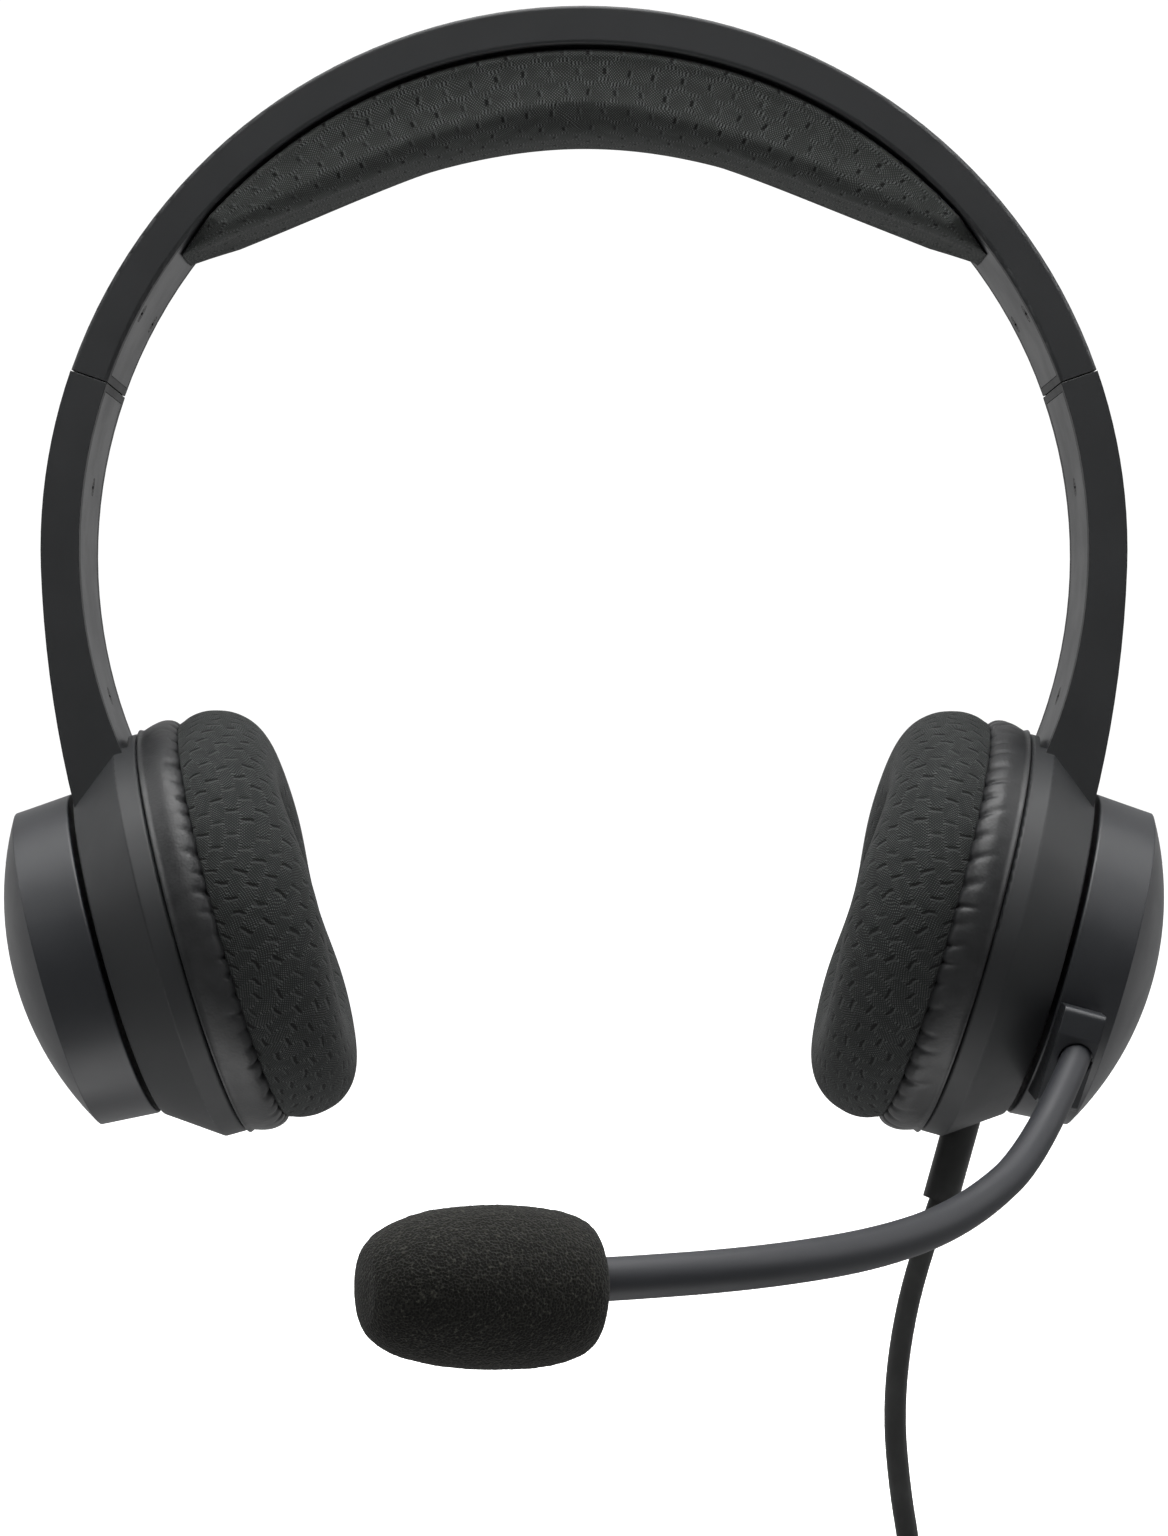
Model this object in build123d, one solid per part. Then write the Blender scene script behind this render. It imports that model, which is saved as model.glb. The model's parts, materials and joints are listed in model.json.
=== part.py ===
"""On-ear headset with a boom microphone, as an assembly of its separate pieces.

Millimetres. The origin is on the underside of the headband's cushion at the crown, where the
head touches it. +X is the wearer's left, which is the microphone's side, -Y is the wearer's
front and +Z is up. Left pieces are modelled and the right ones are their mirror images.
"""
from math import asin, cos, degrees, radians, sin, tan
import os

from build123d import *

# Headband: a band of constant radius that the sliders share
BAND_R = 82.0            # outer radius of the band
BAND_T = 5.8             # radial thickness of the band
BAND_W = 25.0            # width, front to back
SKIN = 1.6               # outer skin of the band and the arms
LIP = 1.8                # front and rear walls of the band and the arms
LINER_T = 1.4            # inner cover plates
SEAM = 0.1               # half of the gap between the band and an arm
SEAM_ANGLE = 19.2        # where the band ends, above the horizontal
END_WALL = 1.2           # wall that closes the end of a channel
PAD_T = 13.2             # cushion at the crown
PAD_W = 22.5             # cushion, front to back
PAD_END = 36.0           # angle at which the cushion runs out
EDGE = 0.6               # rounding of the moulded edges
GAP = 0.1                # between pieces that are fixed together
MOVE_GAP = 0.3           # between curved faces that move past each other

# Slider
TRAVEL = 24.0            # how far an arm pulls out, along the band
CLICK = 3.0              # distance between two clicks
STRIP_T = 1.2
STRIP_W = 12.0
STRIP_HEAD_W = 16.0      # stop at the strip's inner end
STRIP_HEAD_L = 3.5
STRIP_IN_ARM = 21.0      # length held in the arm
GUIDE_START = 8.5        # from the band's end to the guide, along the band
GUIDE_L = 7.5
GUIDE_W = 18.0
GUIDE_FLOOR = 0.6
LEAF_L = 7.0
LEAF_T = 0.2
LEAF_W = 5.0
NOTCH_R = 0.8

# Ear housings, measured along and around the axis of the ear cushion
CUP_TILT = 15.5          # upward tilt of the ear cushion's face
ARM_END = -21.9          # angle at which the arm's inner face meets the housing
LEDGE = 2.5              # flat of the housing between the arm and the cushion
ARM_FLARE_R = 175.0      # large radius that straightens the arm's outer face
ARM_FLARE_TURN = 13.0
RIM_R = 31.6
RIM_DEPTH = 3.5
HOUSING_DEPTH = 11.6
HOUSING_BACK_R = 25.9
HOUSING_WALL = 1.8

# Outer cap and its hub
CAP_R = 25.4
CAP_EDGE_R = 24.8
CAP_START = 12.5
CAP_WALL_END = 21.4
CAP_DEPTH = 28.2
CAP_WALL = 1.6
BASE_RECESS = 0.5
BASE_T = 1.8
HUB_R = 6.0
HUB_BORE_R = 4.0
HUB_FIT = 0.05           # running fit of the hub in the housing
SHOULDER_R = 9.0
SHOULDER_GAP = 0.15
RETAINER_R = 8.6
RETAINER_T = 1.2
WASHER_T = 0.25
CAP_SCREW_CIRCLE = 16.5
BOSS_R = 2.4

# Driver and cushion
BAFFLE_T = 2.0
DRIVER_R = 15.0
DRIVER_DEPTH = 4.6
DRIVER_WALL = 0.8
MAGNET_R = 7.5
MAGNET_T = 2.2
GRILLE_HOLE_R = 1.1
GRILLE_PITCH = 4.4
GRILLE_T = 0.9
CLOTH_R = 17.6
CLOTH_T = 0.4
SKIRT_R = 32.3
SKIRT_INNER_R = 18.0
SKIRT_L = 6.1
PAD_R = 32.0
PAD_HOLE_R = 12.6
PAD_L = 12.9
PAD_ROUND = 6.2
PAD_COVER = 1.4

# Microphone boom
SOCKET_W = 6.2           # along the cup's axis
SOCKET_TOP = -6.2        # height of its upper face in the cup's frame
SOCKET_FRONT = 31.2      # how far forward it reaches
SOCKET_FOLD = -10.6       # where its front face turns back
SOCKET_BOTTOM = -21.3
SOCKET_LOW_FRONT = 27.0   # how far forward its lower end reaches
SOCKET_SEAT = 0.4        # from the cap's inner edge
SCOOP_R = 2.45
SCOOP_START = 2.0        # from the boom's root
SCOOP_L = 12.0
BOOM_D = 5.0
BOOM_ROOT_D = 4.4        # stretch between the socket and the ball
BOOM_CORE_D = 1.6
BOOM_OFFSETS = [          # from the cup's centre
    (13.55, -26.8, -15.4),
    (5.35, -45.0, -29.3),
    (-5.75, -60.0, -36.8),
    (-18.65, -75.0, -40.0),
    (-36.65, -92.0, -40.8),
    (-56.55, -104.0, -40.8),
]
BALL_GAP = 0.5           # between the two stretches of the boom at the ball
CAPSULE_HOLDER_R = 4.8
CAPSULE_HOLDER_L = 13.0
CAPSULE_HOLDER_START = 1.6
CAPSULE_R = 3.0
CAPSULE_T = 2.6
FOAM_R = 10.6
FOAM_L = 34.5
FOAM_OVERLAP = 1.0       # foam behind the boom's end
FOAM_ROUND = 9.0
FOAM_REAR_ROUND = 5.0
FOAM_DIRECTION = (-0.945, -0.325, -0.02)

# Cable
CORD_D = 3.4
RELIEF_R = 2.75
RELIEF_L = 11.5          # outside the housing
RELIEF_FLANGE_R = 3.4
RELIEF_FLANGE_T = 1.5
RELIEF_INSIDE = 5.2      # held inside the housing
RELIEF_DEPTH = 6.2       # from the cushion's seam, along the cup's axis
CORD_ROUTE = [
    (51.3, 0.0, -172.3),
    (48.6, 0.0, -184.3),
    (47.6, 0.0, -196.0),
    (48.9, 0.0, -208.0),
    (50.9, -0.4, -219.0),
    (51.6, -0.6, -227.5),
]
COIL_CENTRE = (51.0, 0.0, -249.0)
COIL_R = 19.0            # middle of the turns
COIL_BUNDLE_R = 7.2
TIE_W = 5.0
TIE_T = 0.8
TAIL_ROUTE = [
    (44.5, -7.5, -231.0),
    (42.6, -11.5, -236.5),
    (41.8, -12.3, -244.0),
]
PLUG_R = 3.6
PLUG_BODY_L = 19.0
PLUG_BOOT_L = 9.0
PIN_R = 1.75
PIN_L = 14.0
PIN_TIP_L = 2.6
INSULATOR_W = 0.5
INSULATOR_DEPTH = 0.35

# Screws
SCREW_HEAD_R = 1.3
SCREW_HEAD_T = 0.8
SCREW_R = 0.7
SCREW_L = 4.0
CAP_SCREW_HEAD_R = 1.9
CAP_SCREW_R = 1.0
CAP_SCREW_L = 5.0

# Places that follow from the sizes above
ARC_Z = -(BAND_R - BAND_T - PAD_T)
INNER_R = BAND_R - BAND_T
CHANNEL_R = BAND_R - SKIN
CHANNEL_W = BAND_W - 2 * LIP
STRIP_R = INNER_R + LINER_T + GUIDE_FLOOR + GAP + MOVE_GAP
TILT = radians(CUP_TILT)
EARWARD = Vector(-cos(TILT), 0, sin(TILT))
RIMWARD = Vector(sin(TILT), 0, cos(TILT))


def along(distance, radius=BAND_R - BAND_T / 2):
    """Angle in degrees that a distance along the band covers."""
    return degrees(distance / radius)


def on_arc(radius, angle, y=0.0):
    """Point in space at a radius and an angle above the horizontal."""
    return Vector(radius * cos(radians(angle)), y, ARC_Z + radius * sin(radians(angle)))


CUP_CENTRE = on_arc(INNER_R, ARM_END) + EARWARD * LEDGE - RIMWARD * RIM_R
CUP = Location(Plane(origin=CUP_CENTRE, x_dir=RIMWARD, z_dir=EARWARD))
BOOM_ROUTE = [tuple(CUP_CENTRE + Vector(*offset)) for offset in BOOM_OFFSETS]


def sector(r_in, r_out, start, end, width):
    """Piece of the band's ring between two radii and two angles."""
    outer = CenterArc((0, ARC_Z), r_out, start, end - start)
    inner = CenterArc((0, ARC_Z), r_in, start, end - start)
    face = make_face([outer, Line(outer @ 1, inner @ 1), inner, Line(inner @ 0, outer @ 0)])
    return extrude(Plane.XZ * face, amount=width / 2, both=True)


def turned(*points):
    """Closed outline of (radius, depth) points, spun about the cup's axis."""
    return revolve(Plane.XZ * make_face(Polyline(*points, close=True)), Axis.Z)


def disc(radius, low, high):
    """Cylinder on the cup's axis between two depths."""
    return Pos(0, 0, (low + high) / 2) * Cylinder(radius, high - low)


def radial(angle, y=0.0, radius=INNER_R):
    """Place on the band whose own Z points outwards along the radius."""
    out = Vector(cos(radians(angle)), 0, sin(radians(angle)))
    return Location(Plane(origin=on_arc(radius, angle, y), x_dir=(0, 1, 0), z_dir=out))


def screw(head_r, head_t, shaft_r, shaft_l):
    """Countersunk into +Z: the head's outer face is at zero and the shaft runs up."""
    head = Pos(0, 0, head_t / 2) * Cylinder(head_r, head_t)
    shaft = Pos(0, 0, head_t + shaft_l / 2) * Cylinder(shaft_r, shaft_l)
    slot = Box(head_r * 1.2, head_r * 0.3, head_t)
    return head + shaft - slot - Rot(0, 0, 90) * slot


def screw_pocket(head_r, head_t, shaft_r, shaft_l):
    """Hole that such a screw sits in, with clearance."""
    head = Pos(0, 0, head_t / 2) * Cylinder(head_r + GAP, head_t + 2 * GAP)
    shaft = Pos(0, 0, head_t + shaft_l / 2) * Cylinder(shaft_r + GAP, shaft_l + 2 * GAP)
    return head + shaft


def mirrored(shape):
    """The other side's copy."""
    return mirror(shape, about=Plane.YZ)


# ---------------------------------------------------------------- headband
BAND_END = SEAM_ANGLE + along(SEAM)
GUIDE_FROM = BAND_END + along(GUIDE_START)
GUIDE_TO = GUIDE_FROM + along(GUIDE_L)
LEAF_FROM = GUIDE_TO + along(1.0)
LEAF_TO = LEAF_FROM + along(LEAF_L)
HEAD_FROM = GUIDE_TO + along(TRAVEL) + along(0.5)
HEAD_TO = HEAD_FROM + along(STRIP_HEAD_L)
SPRING_FROM = HEAD_TO + along(1.5)
STRIP_FROM = SEAM_ANGLE - along(STRIP_IN_ARM)
STRIP_SCREW_ANGLE = STRIP_FROM + along(5.0)
LINER_W = CHANNEL_W - 2 * GAP
SCREW_Y = (STRIP_W + GUIDE_W) / 4 + MOVE_GAP / 2
SCREW_ANGLE = (GUIDE_FROM + GUIDE_TO) / 2
DETENT_ANGLE = (LEAF_FROM + LEAF_TO) / 2


def headband_shell():
    ring = sector(INNER_R, BAND_R, BAND_END, 180 - BAND_END, BAND_W)
    outer_edges = ring.edges().filter_by(GeomType.CIRCLE)
    ring = fillet(outer_edges, EDGE)
    wall = along(END_WALL)
    ring -= sector(INNER_R - 1, CHANNEL_R, BAND_END + wall, 180 - BAND_END - wall, CHANNEL_W)
    for slot in slider_slots(BAND_END - wall, BAND_END + 2 * wall):
        ring -= slot
    return ring


def slider_slots(start, end):
    """Openings in the end walls that the strips run through."""
    slot = sector(
        STRIP_R - MOVE_GAP, STRIP_R + STRIP_T + MOVE_GAP, start, end, STRIP_W + 2 * MOVE_GAP)
    return [slot, mirrored(slot)]


def headband_liner():
    start = BAND_END + along(END_WALL) + along(GAP)
    plate = sector(INNER_R, INNER_R + LINER_T, start, 180 - start, LINER_W)
    for angle, y in liner_screw_places():
        pocket = screw_pocket(SCREW_HEAD_R, SCREW_HEAD_T, SCREW_R, SCREW_L)
        plate -= radial(angle, y) * pocket
    return plate


def liner_screw_places():
    return [(a, y) for a in (SCREW_ANGLE, 180 - SCREW_ANGLE) for y in (-SCREW_Y, SCREW_Y)]


def liner_screws():
    length = CHANNEL_R - INNER_R - SCREW_HEAD_T - 4 * GAP
    one = screw(SCREW_HEAD_R, SCREW_HEAD_T, SCREW_R, length)
    return Compound([radial(angle, y) * one for angle, y in liner_screw_places()])


def spring_band():
    return sector(
        CHANNEL_R - GAP - 0.5, CHANNEL_R - GAP, SPRING_FROM, 180 - SPRING_FROM, STRIP_W)


def crossover_wire():
    radius = (INNER_R + LINER_T + CHANNEL_R) / 2
    y = CHANNEL_W / 2 - 1.2
    arc = CenterArc((0, ARC_Z), radius, SEAM_ANGLE + 14, 180 - 2 * (SEAM_ANGLE + 14))
    path = Plane.XZ.offset(-y) * arc
    section = Plane(origin=path @ 0, z_dir=path % 0) * Circle(0.7)
    return sweep(section, path=path)


def headband_cushion():
    end = on_arc(INNER_R - GAP, PAD_END)
    top = CenterArc((0, ARC_Z), INNER_R - GAP, PAD_END, 180 - 2 * PAD_END)
    shoulder = on_arc(INNER_R - 0.72 * PAD_T, 51.5)
    knee = on_arc(INNER_R - 0.38 * PAD_T, 42.0)
    points = [(end.X, end.Z), (knee.X, knee.Z), (shoulder.X, shoulder.Z), (0, 0)]
    points += [(-shoulder.X, shoulder.Z), (-knee.X, knee.Z), (-end.X, end.Z)]
    face = make_face([top, Spline(*points)])
    return extrude(Plane.XZ * face, amount=PAD_W / 2, both=True)


# ---------------------------------------------------------------- slider and its guide
def slider_guide():
    low = INNER_R + LINER_T + GAP
    block = sector(low, CHANNEL_R - GAP, GUIDE_FROM, GUIDE_TO, GUIDE_W)
    block -= sector(
        low + GUIDE_FLOOR, BAND_R, GUIDE_FROM - 1, GUIDE_TO + 1, STRIP_W + 2 * MOVE_GAP)
    for y in (-SCREW_Y, SCREW_Y):
        pocket = screw_pocket(SCREW_HEAD_R, SCREW_HEAD_T, SCREW_R, SCREW_L)
        block -= radial(SCREW_ANGLE, y) * pocket
    return block


def detent_leaf():
    low = INNER_R + LINER_T + GAP
    leaf = sector(low, low + LEAF_T, LEAF_FROM, LEAF_TO, LEAF_W)
    bump_top = STRIP_R - MOVE_GAP / 2
    bump = radial(DETENT_ANGLE, 0, low) * Pos(0, 0, (bump_top - low) / 2) * Cone(
        0.9, 0.4, bump_top - low)
    return leaf + bump


def slider_strip():
    top = STRIP_R + STRIP_T
    strip = sector(STRIP_R, top, STRIP_FROM, HEAD_TO, STRIP_W)
    strip += sector(STRIP_R, top, HEAD_FROM, HEAD_TO, STRIP_HEAD_W)
    for click in range(int(TRAVEL / CLICK) + 1):
        angle = DETENT_ANGLE + along(click * CLICK)
        strip -= strip_hole(angle, NOTCH_R)
    return strip - strip_hole(STRIP_SCREW_ANGLE, SCREW_R + GAP)


def strip_hole(angle, radius):
    return radial(angle, 0, STRIP_R + STRIP_T / 2) * Cylinder(radius, 3 * STRIP_T)


# ---------------------------------------------------------------- arm and ear housing
ARM_TOP = SEAM_ANGLE - along(SEAM)
ARM_SCREW_ANGLES = (ARM_END + along(7.0), STRIP_SCREW_ANGLE)
ARM_COVER_END = ARM_END - 1.6


def arm_outline():
    """Arm in the XZ plane: the band's ring, then a nearly straight outer face."""
    bend = on_arc(BAND_R, -2.0)
    upper = CenterArc((0, ARC_Z), BAND_R, -2.0, ARM_TOP + 2.0)
    flare = JernArc(
        (bend.X, bend.Z), (-sin(radians(2.0)), -cos(radians(2.0))), ARM_FLARE_R, -ARM_FLARE_TURN)
    inner = CenterArc((0, ARC_Z), INNER_R, ARM_END - 6.5, ARM_TOP - ARM_END + 6.5)
    return make_face([upper, flare, Line(flare @ 1, inner @ 0), inner, Line(inner @ 1, upper @ 1)])


def behind_housing(size=120):
    """Everything on the cap's side of the housing's back face."""
    return CUP * Pos(0, 0, -HOUSING_DEPTH - size / 2) * Box(size, size, size)


def arm_solid():
    arm = extrude(Plane.XZ * arm_outline(), amount=BAND_W / 2, both=True)
    return arm - behind_housing()


def housing_outer():
    profile = Polyline(
        (0, 0), (RIM_R, 0), (RIM_R, -RIM_DEPTH), (HOUSING_BACK_R, -HOUSING_DEPTH),
        (0, -HOUSING_DEPTH), close=True)
    face = make_face(profile)
    corners = face.vertices().filter_by(lambda v: v.X > 1)
    face = fillet(corners, EDGE)
    return CUP * revolve(Plane.XZ * face, Axis.Z)


def housing_cavity():
    inner = RIM_R - HOUSING_WALL
    floor = -HOUSING_DEPTH + HOUSING_WALL
    back = HOUSING_BACK_R - HOUSING_WALL
    return CUP * turned((0, 1), (inner, 1), (inner, -RIM_DEPTH + 0.3), (back, floor), (0, floor))


def arm_housing():
    shell = arm_solid() + housing_outer()
    shell -= housing_cavity()
    shell -= sector(
        INNER_R - 1, CHANNEL_R, ARM_COVER_END, ARM_TOP - along(END_WALL), CHANNEL_W)
    shell -= slider_slots(ARM_TOP - 2 * along(END_WALL), ARM_TOP + 1)[0]
    return shell - CUP * disc(HUB_R + HUB_FIT, -HOUSING_DEPTH - 1, -HOUSING_DEPTH + 3)


def cable_side_housing():
    """The left housing, which the cable leaves through its strain relief's hole."""
    return arm_housing() - relief_hole()


def arm_cover():
    top = ARM_TOP - along(END_WALL) - along(GAP)
    plate = sector(INNER_R, INNER_R + LINER_T, ARM_COVER_END + along(GAP), top, LINER_W)
    for angle in ARM_SCREW_ANGLES:
        pocket = screw_pocket(SCREW_HEAD_R, SCREW_HEAD_T, SCREW_R, CHANNEL_R - INNER_R)
        plate -= radial(angle) * pocket
    return plate


def arm_screws():
    length = CHANNEL_R - INNER_R - SCREW_HEAD_T - 4 * GAP
    one = screw(SCREW_HEAD_R, SCREW_HEAD_T, SCREW_R, length)
    return Compound([radial(angle) * one for angle in ARM_SCREW_ANGLES])


# ---------------------------------------------------------------- outer cap
def cap_solid(inset):
    """Cap's outside, or its inside when it is inset by the wall."""
    apex = (0, -CAP_DEPTH + inset)
    rim = (CAP_EDGE_R - inset, -CAP_WALL_END + 0.35 * inset)
    height = rim[1] - apex[1]
    dome_r = (rim[0] ** 2 + height ** 2) / (2 * height)
    half = 0.5 * asin(rim[0] / dome_r)
    middle = (dome_r * sin(half), apex[1] + dome_r * (1 - cos(half)))
    start = (CAP_R - inset, -CAP_START)
    wall = Line(start, rim)
    dome = ThreePointArc(rim, middle, apex)
    face = make_face([wall, dome, Line(apex, (0, -CAP_START)), Line((0, -CAP_START), start)])
    return revolve(Plane.XZ * face, Axis.Z)


def screw_angles():
    return (30, 150, 270)


def cap_boss(angle, radius, top):
    """Post at one of the cap's screws, from the base up into the dome."""
    x = CAP_SCREW_CIRCLE * cos(radians(angle))
    y = CAP_SCREW_CIRCLE * sin(radians(angle))
    return Pos(x, y, (top - CAP_DEPTH) / 2) * Cylinder(radius, CAP_DEPTH + top)


BASE_TOP = -CAP_START - BASE_RECESS
BASE_BOTTOM = BASE_TOP - BASE_T


def outer_cap():
    shell = cap_solid(0)
    rim = shell.edges().filter_by(GeomType.CIRCLE).sort_by(SortBy.RADIUS)
    shell = fillet(rim[-2:], 0.5 * EDGE)
    shell -= cap_solid(CAP_WALL)
    for angle in screw_angles():
        boss = cap_boss(angle, BOSS_R, BASE_BOTTOM - GAP)
        shell += boss & cap_solid(0.5 * CAP_WALL)
    for angle in screw_angles():
        x = CAP_SCREW_CIRCLE * cos(radians(angle))
        y = CAP_SCREW_CIRCLE * sin(radians(angle))
        depth = CAP_SCREW_L + GAP
        shell -= Pos(x, y, BASE_BOTTOM - depth / 2) * Cylinder(CAP_SCREW_R + GAP, depth)
    return CUP * shell


def cap_base():
    radius = CAP_R - CAP_WALL - 0.1 - GAP
    plate = disc(radius, BASE_BOTTOM, BASE_TOP)
    plate += disc(SHOULDER_R, BASE_BOTTOM, -HOUSING_DEPTH - SHOULDER_GAP)
    plate += disc(HUB_R, BASE_BOTTOM, retainer_low() + RETAINER_T)
    plate -= disc(HUB_BORE_R, -CAP_DEPTH, 0)
    for angle in screw_angles():
        pocket = screw_pocket(CAP_SCREW_HEAD_R, SCREW_HEAD_T, CAP_SCREW_R, CAP_SCREW_L)
        plate -= cap_screw_place(angle) * pocket
    return CUP * plate


def retainer_low():
    """Depth of the retainer's face towards the housing's back wall."""
    return -HOUSING_DEPTH + HOUSING_WALL + WASHER_T + 2 * SHOULDER_GAP


def cap_screw_place(angle):
    x = CAP_SCREW_CIRCLE * cos(radians(angle))
    y = CAP_SCREW_CIRCLE * sin(radians(angle))
    return Pos(x, y, BASE_TOP) * Rot(180, 0, 0)


def cap_screws():
    one = screw(CAP_SCREW_HEAD_R, SCREW_HEAD_T, CAP_SCREW_R, CAP_SCREW_L)
    return CUP * Compound([cap_screw_place(angle) * one for angle in screw_angles()])


def hub_retainer():
    ring = disc(RETAINER_R, retainer_low(), retainer_low() + RETAINER_T)
    return CUP * (ring - disc(HUB_R + GAP, -CAP_DEPTH, 0))


def friction_washer():
    low = -HOUSING_DEPTH + HOUSING_WALL + SHOULDER_GAP
    ring = disc(RETAINER_R, low, low + WASHER_T)
    return CUP * (ring - disc(HUB_R + MOVE_GAP, -CAP_DEPTH, 0))


# ---------------------------------------------------------------- driver and cushion
def grille_places():
    """Hexagonal pattern of sound holes inside the driver's circle."""
    reach = DRIVER_R - 3.0
    rows = range(-3, 4)
    places = []
    for row in rows:
        for column in range(-4, 5):
            x = GRILLE_PITCH * (column + 0.5 * (row % 2))
            y = GRILLE_PITCH * 0.866 * row
            if x * x + y * y < reach * reach:
                places.append((x, y))
    return places


def baffle():
    plate = disc(RIM_R - HOUSING_WALL - GAP, -BAFFLE_T, 0)
    plate += disc(DRIVER_R + 1.6, -DRIVER_DEPTH, 0)
    plate -= disc(DRIVER_R + GAP, -DRIVER_DEPTH - 1, -GRILLE_T)
    hole = Cylinder(GRILLE_HOLE_R, 3 * GRILLE_T)
    plate -= [Pos(x, y, 0) * hole for x, y in grille_places()]
    return CUP * plate


def driver_frame():
    top = -GRILLE_T - GAP
    low = -DRIVER_DEPTH - DRIVER_WALL
    cup = disc(DRIVER_R, low, top) - disc(DRIVER_R - DRIVER_WALL, low + DRIVER_WALL, top + 1)
    return CUP * cup


def driver_magnet():
    high = -DRIVER_DEPTH - DRIVER_WALL - GAP
    return CUP * disc(MAGNET_R, high - MAGNET_T, high)


def driver_diaphragm():
    radius = DRIVER_R - DRIVER_WALL - GAP
    flat = disc(radius, -GRILLE_T - 1.6, -GRILLE_T - 1.4)
    dome = disc(0.45 * radius, -GRILLE_T - 1.4, -GRILLE_T - 0.7)
    return CUP * (flat + dome)


def speaker_cloth():
    return CUP * disc(CLOTH_R, GAP, GAP + CLOTH_T)


def rounded_ring(r_in, r_out, low, high, corner):
    """Ring with a rounded section about the cup's axis."""
    section = Pos((r_in + r_out) / 2, (low + high) / 2) * RectangleRounded(
        r_out - r_in, high - low, corner)
    return revolve(Plane.XZ * section, Axis.Z)


def cushion_skirt():
    return CUP * rounded_ring(SKIRT_INNER_R, SKIRT_R, GAP, SKIRT_L, 0.3 * SKIRT_L)


def cushion_foam():
    low = SKIRT_L + GAP + PAD_COVER
    high = SKIRT_L + PAD_L - PAD_COVER
    return CUP * rounded_ring(
        PAD_HOLE_R + PAD_COVER, PAD_R - PAD_COVER, low, high, PAD_ROUND - PAD_COVER - 0.5)


def cushion_mesh():
    low = SKIRT_L + GAP
    cover = rounded_ring(PAD_HOLE_R, PAD_R, low, SKIRT_L + PAD_L, PAD_ROUND)
    inside = rounded_ring(
        PAD_HOLE_R + PAD_COVER - GAP, PAD_R - PAD_COVER + GAP, low + PAD_COVER - GAP,
        SKIRT_L + PAD_L - PAD_COVER + GAP, PAD_ROUND - PAD_COVER - 0.4)
    return CUP * (cover - inside)


# ---------------------------------------------------------------- microphone
def route_radii(points):
    """Largest tangent arcs that a route's corners allow."""
    radii = []
    for before, here, after in zip(points, points[1:], points[2:]):
        run_in = Vector(*here) - Vector(*before)
        run_out = Vector(*after) - Vector(*here)
        turn = radians(run_in.get_angle(run_out))
        radii.append(0.45 * min(run_in.length, run_out.length) / tan(turn / 2))
    return radii


def tube(points, diameter):
    """Straight runs joined by tangent arcs, swept with a round section."""
    path = FilletPolyline(*points, radius=route_radii(points)) if len(points) > 2 else Line(*points)
    section = Plane(origin=path @ 0, z_dir=path % 0) * Circle(diameter / 2)
    return sweep(section, path=path)


def boom_direction(index):
    return (Vector(*BOOM_ROUTE[index + 1]) - Vector(*BOOM_ROUTE[index])).normalized()


BALL = Vector(*BOOM_ROUTE[0]) + boom_direction(0) * 12.0
BALL_R = BOOM_D / 2


def boom_socket():
    """Block on the cap's rim, with the scoop that the boom comes out of."""
    outline = Polyline(
        (SOCKET_TOP, -CAP_R + 3.0), (SOCKET_TOP - 0.3, -SOCKET_FRONT),
        (SOCKET_FOLD, -SOCKET_FRONT + 0.2), (SOCKET_BOTTOM, -SOCKET_LOW_FRONT),
        (SOCKET_BOTTOM + 0.8, -9.0), close=True)
    block = extrude(make_face(outline), amount=SOCKET_W)
    block = fillet(block.edges().filter_by(Axis.Z).sort_by(Axis.Y)[:3], 0.8)
    block = Pos(0, 0, -CAP_START - SOCKET_SEAT - SOCKET_W) * block
    block = CUP * block
    block -= CUP * (cap_solid(-GAP))
    start = Vector(*BOOM_ROUTE[0])
    forward = boom_direction(0)
    middle = start + forward * (SCOOP_START + SCOOP_L / 2)
    block -= Plane(origin=middle, z_dir=forward) * Cylinder(SCOOP_R, SCOOP_L)
    return block - Plane(origin=start, z_dir=forward) * Cylinder(BOOM_ROOT_D / 2 + GAP, 16.0)


def boom_root():
    start = Vector(*BOOM_ROUTE[0])
    end = BALL - boom_direction(0) * (BALL_R + BALL_GAP)
    length = (end - start).length
    place = Plane(origin=start, z_dir=boom_direction(0))
    return place * Pos(0, 0, length / 2) * Cylinder(BOOM_ROOT_D / 2, length)


def boom_points():
    """The boom's route from the centre of the ball."""
    return [tuple(BALL)] + BOOM_ROUTE[1:]


def boom_sleeve():
    sleeve = tube(boom_points(), BOOM_D) + Pos(*BALL) * Sphere(BALL_R)
    return sleeve - tube(boom_points(), BOOM_CORE_D + 2 * GAP)


def boom_core():
    return tube(boom_points(), BOOM_CORE_D)


FOAM_AXIS = Vector(*FOAM_DIRECTION).normalized()
BOOM_END = Vector(*BOOM_ROUTE[-1])


FOAM_PLACE = Location(Plane(origin=BOOM_END, z_dir=FOAM_AXIS))


HOLDER_END = CAPSULE_HOLDER_START + CAPSULE_HOLDER_L


def capsule_holder():
    body = disc(CAPSULE_HOLDER_R, CAPSULE_HOLDER_START, HOLDER_END)
    seat = disc(CAPSULE_R + GAP, HOLDER_END - CAPSULE_T - GAP, HOLDER_END + 1)
    return FOAM_PLACE * (body - seat)


def mic_capsule():
    return FOAM_PLACE * disc(CAPSULE_R, HOLDER_END - CAPSULE_T, HOLDER_END)


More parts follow.
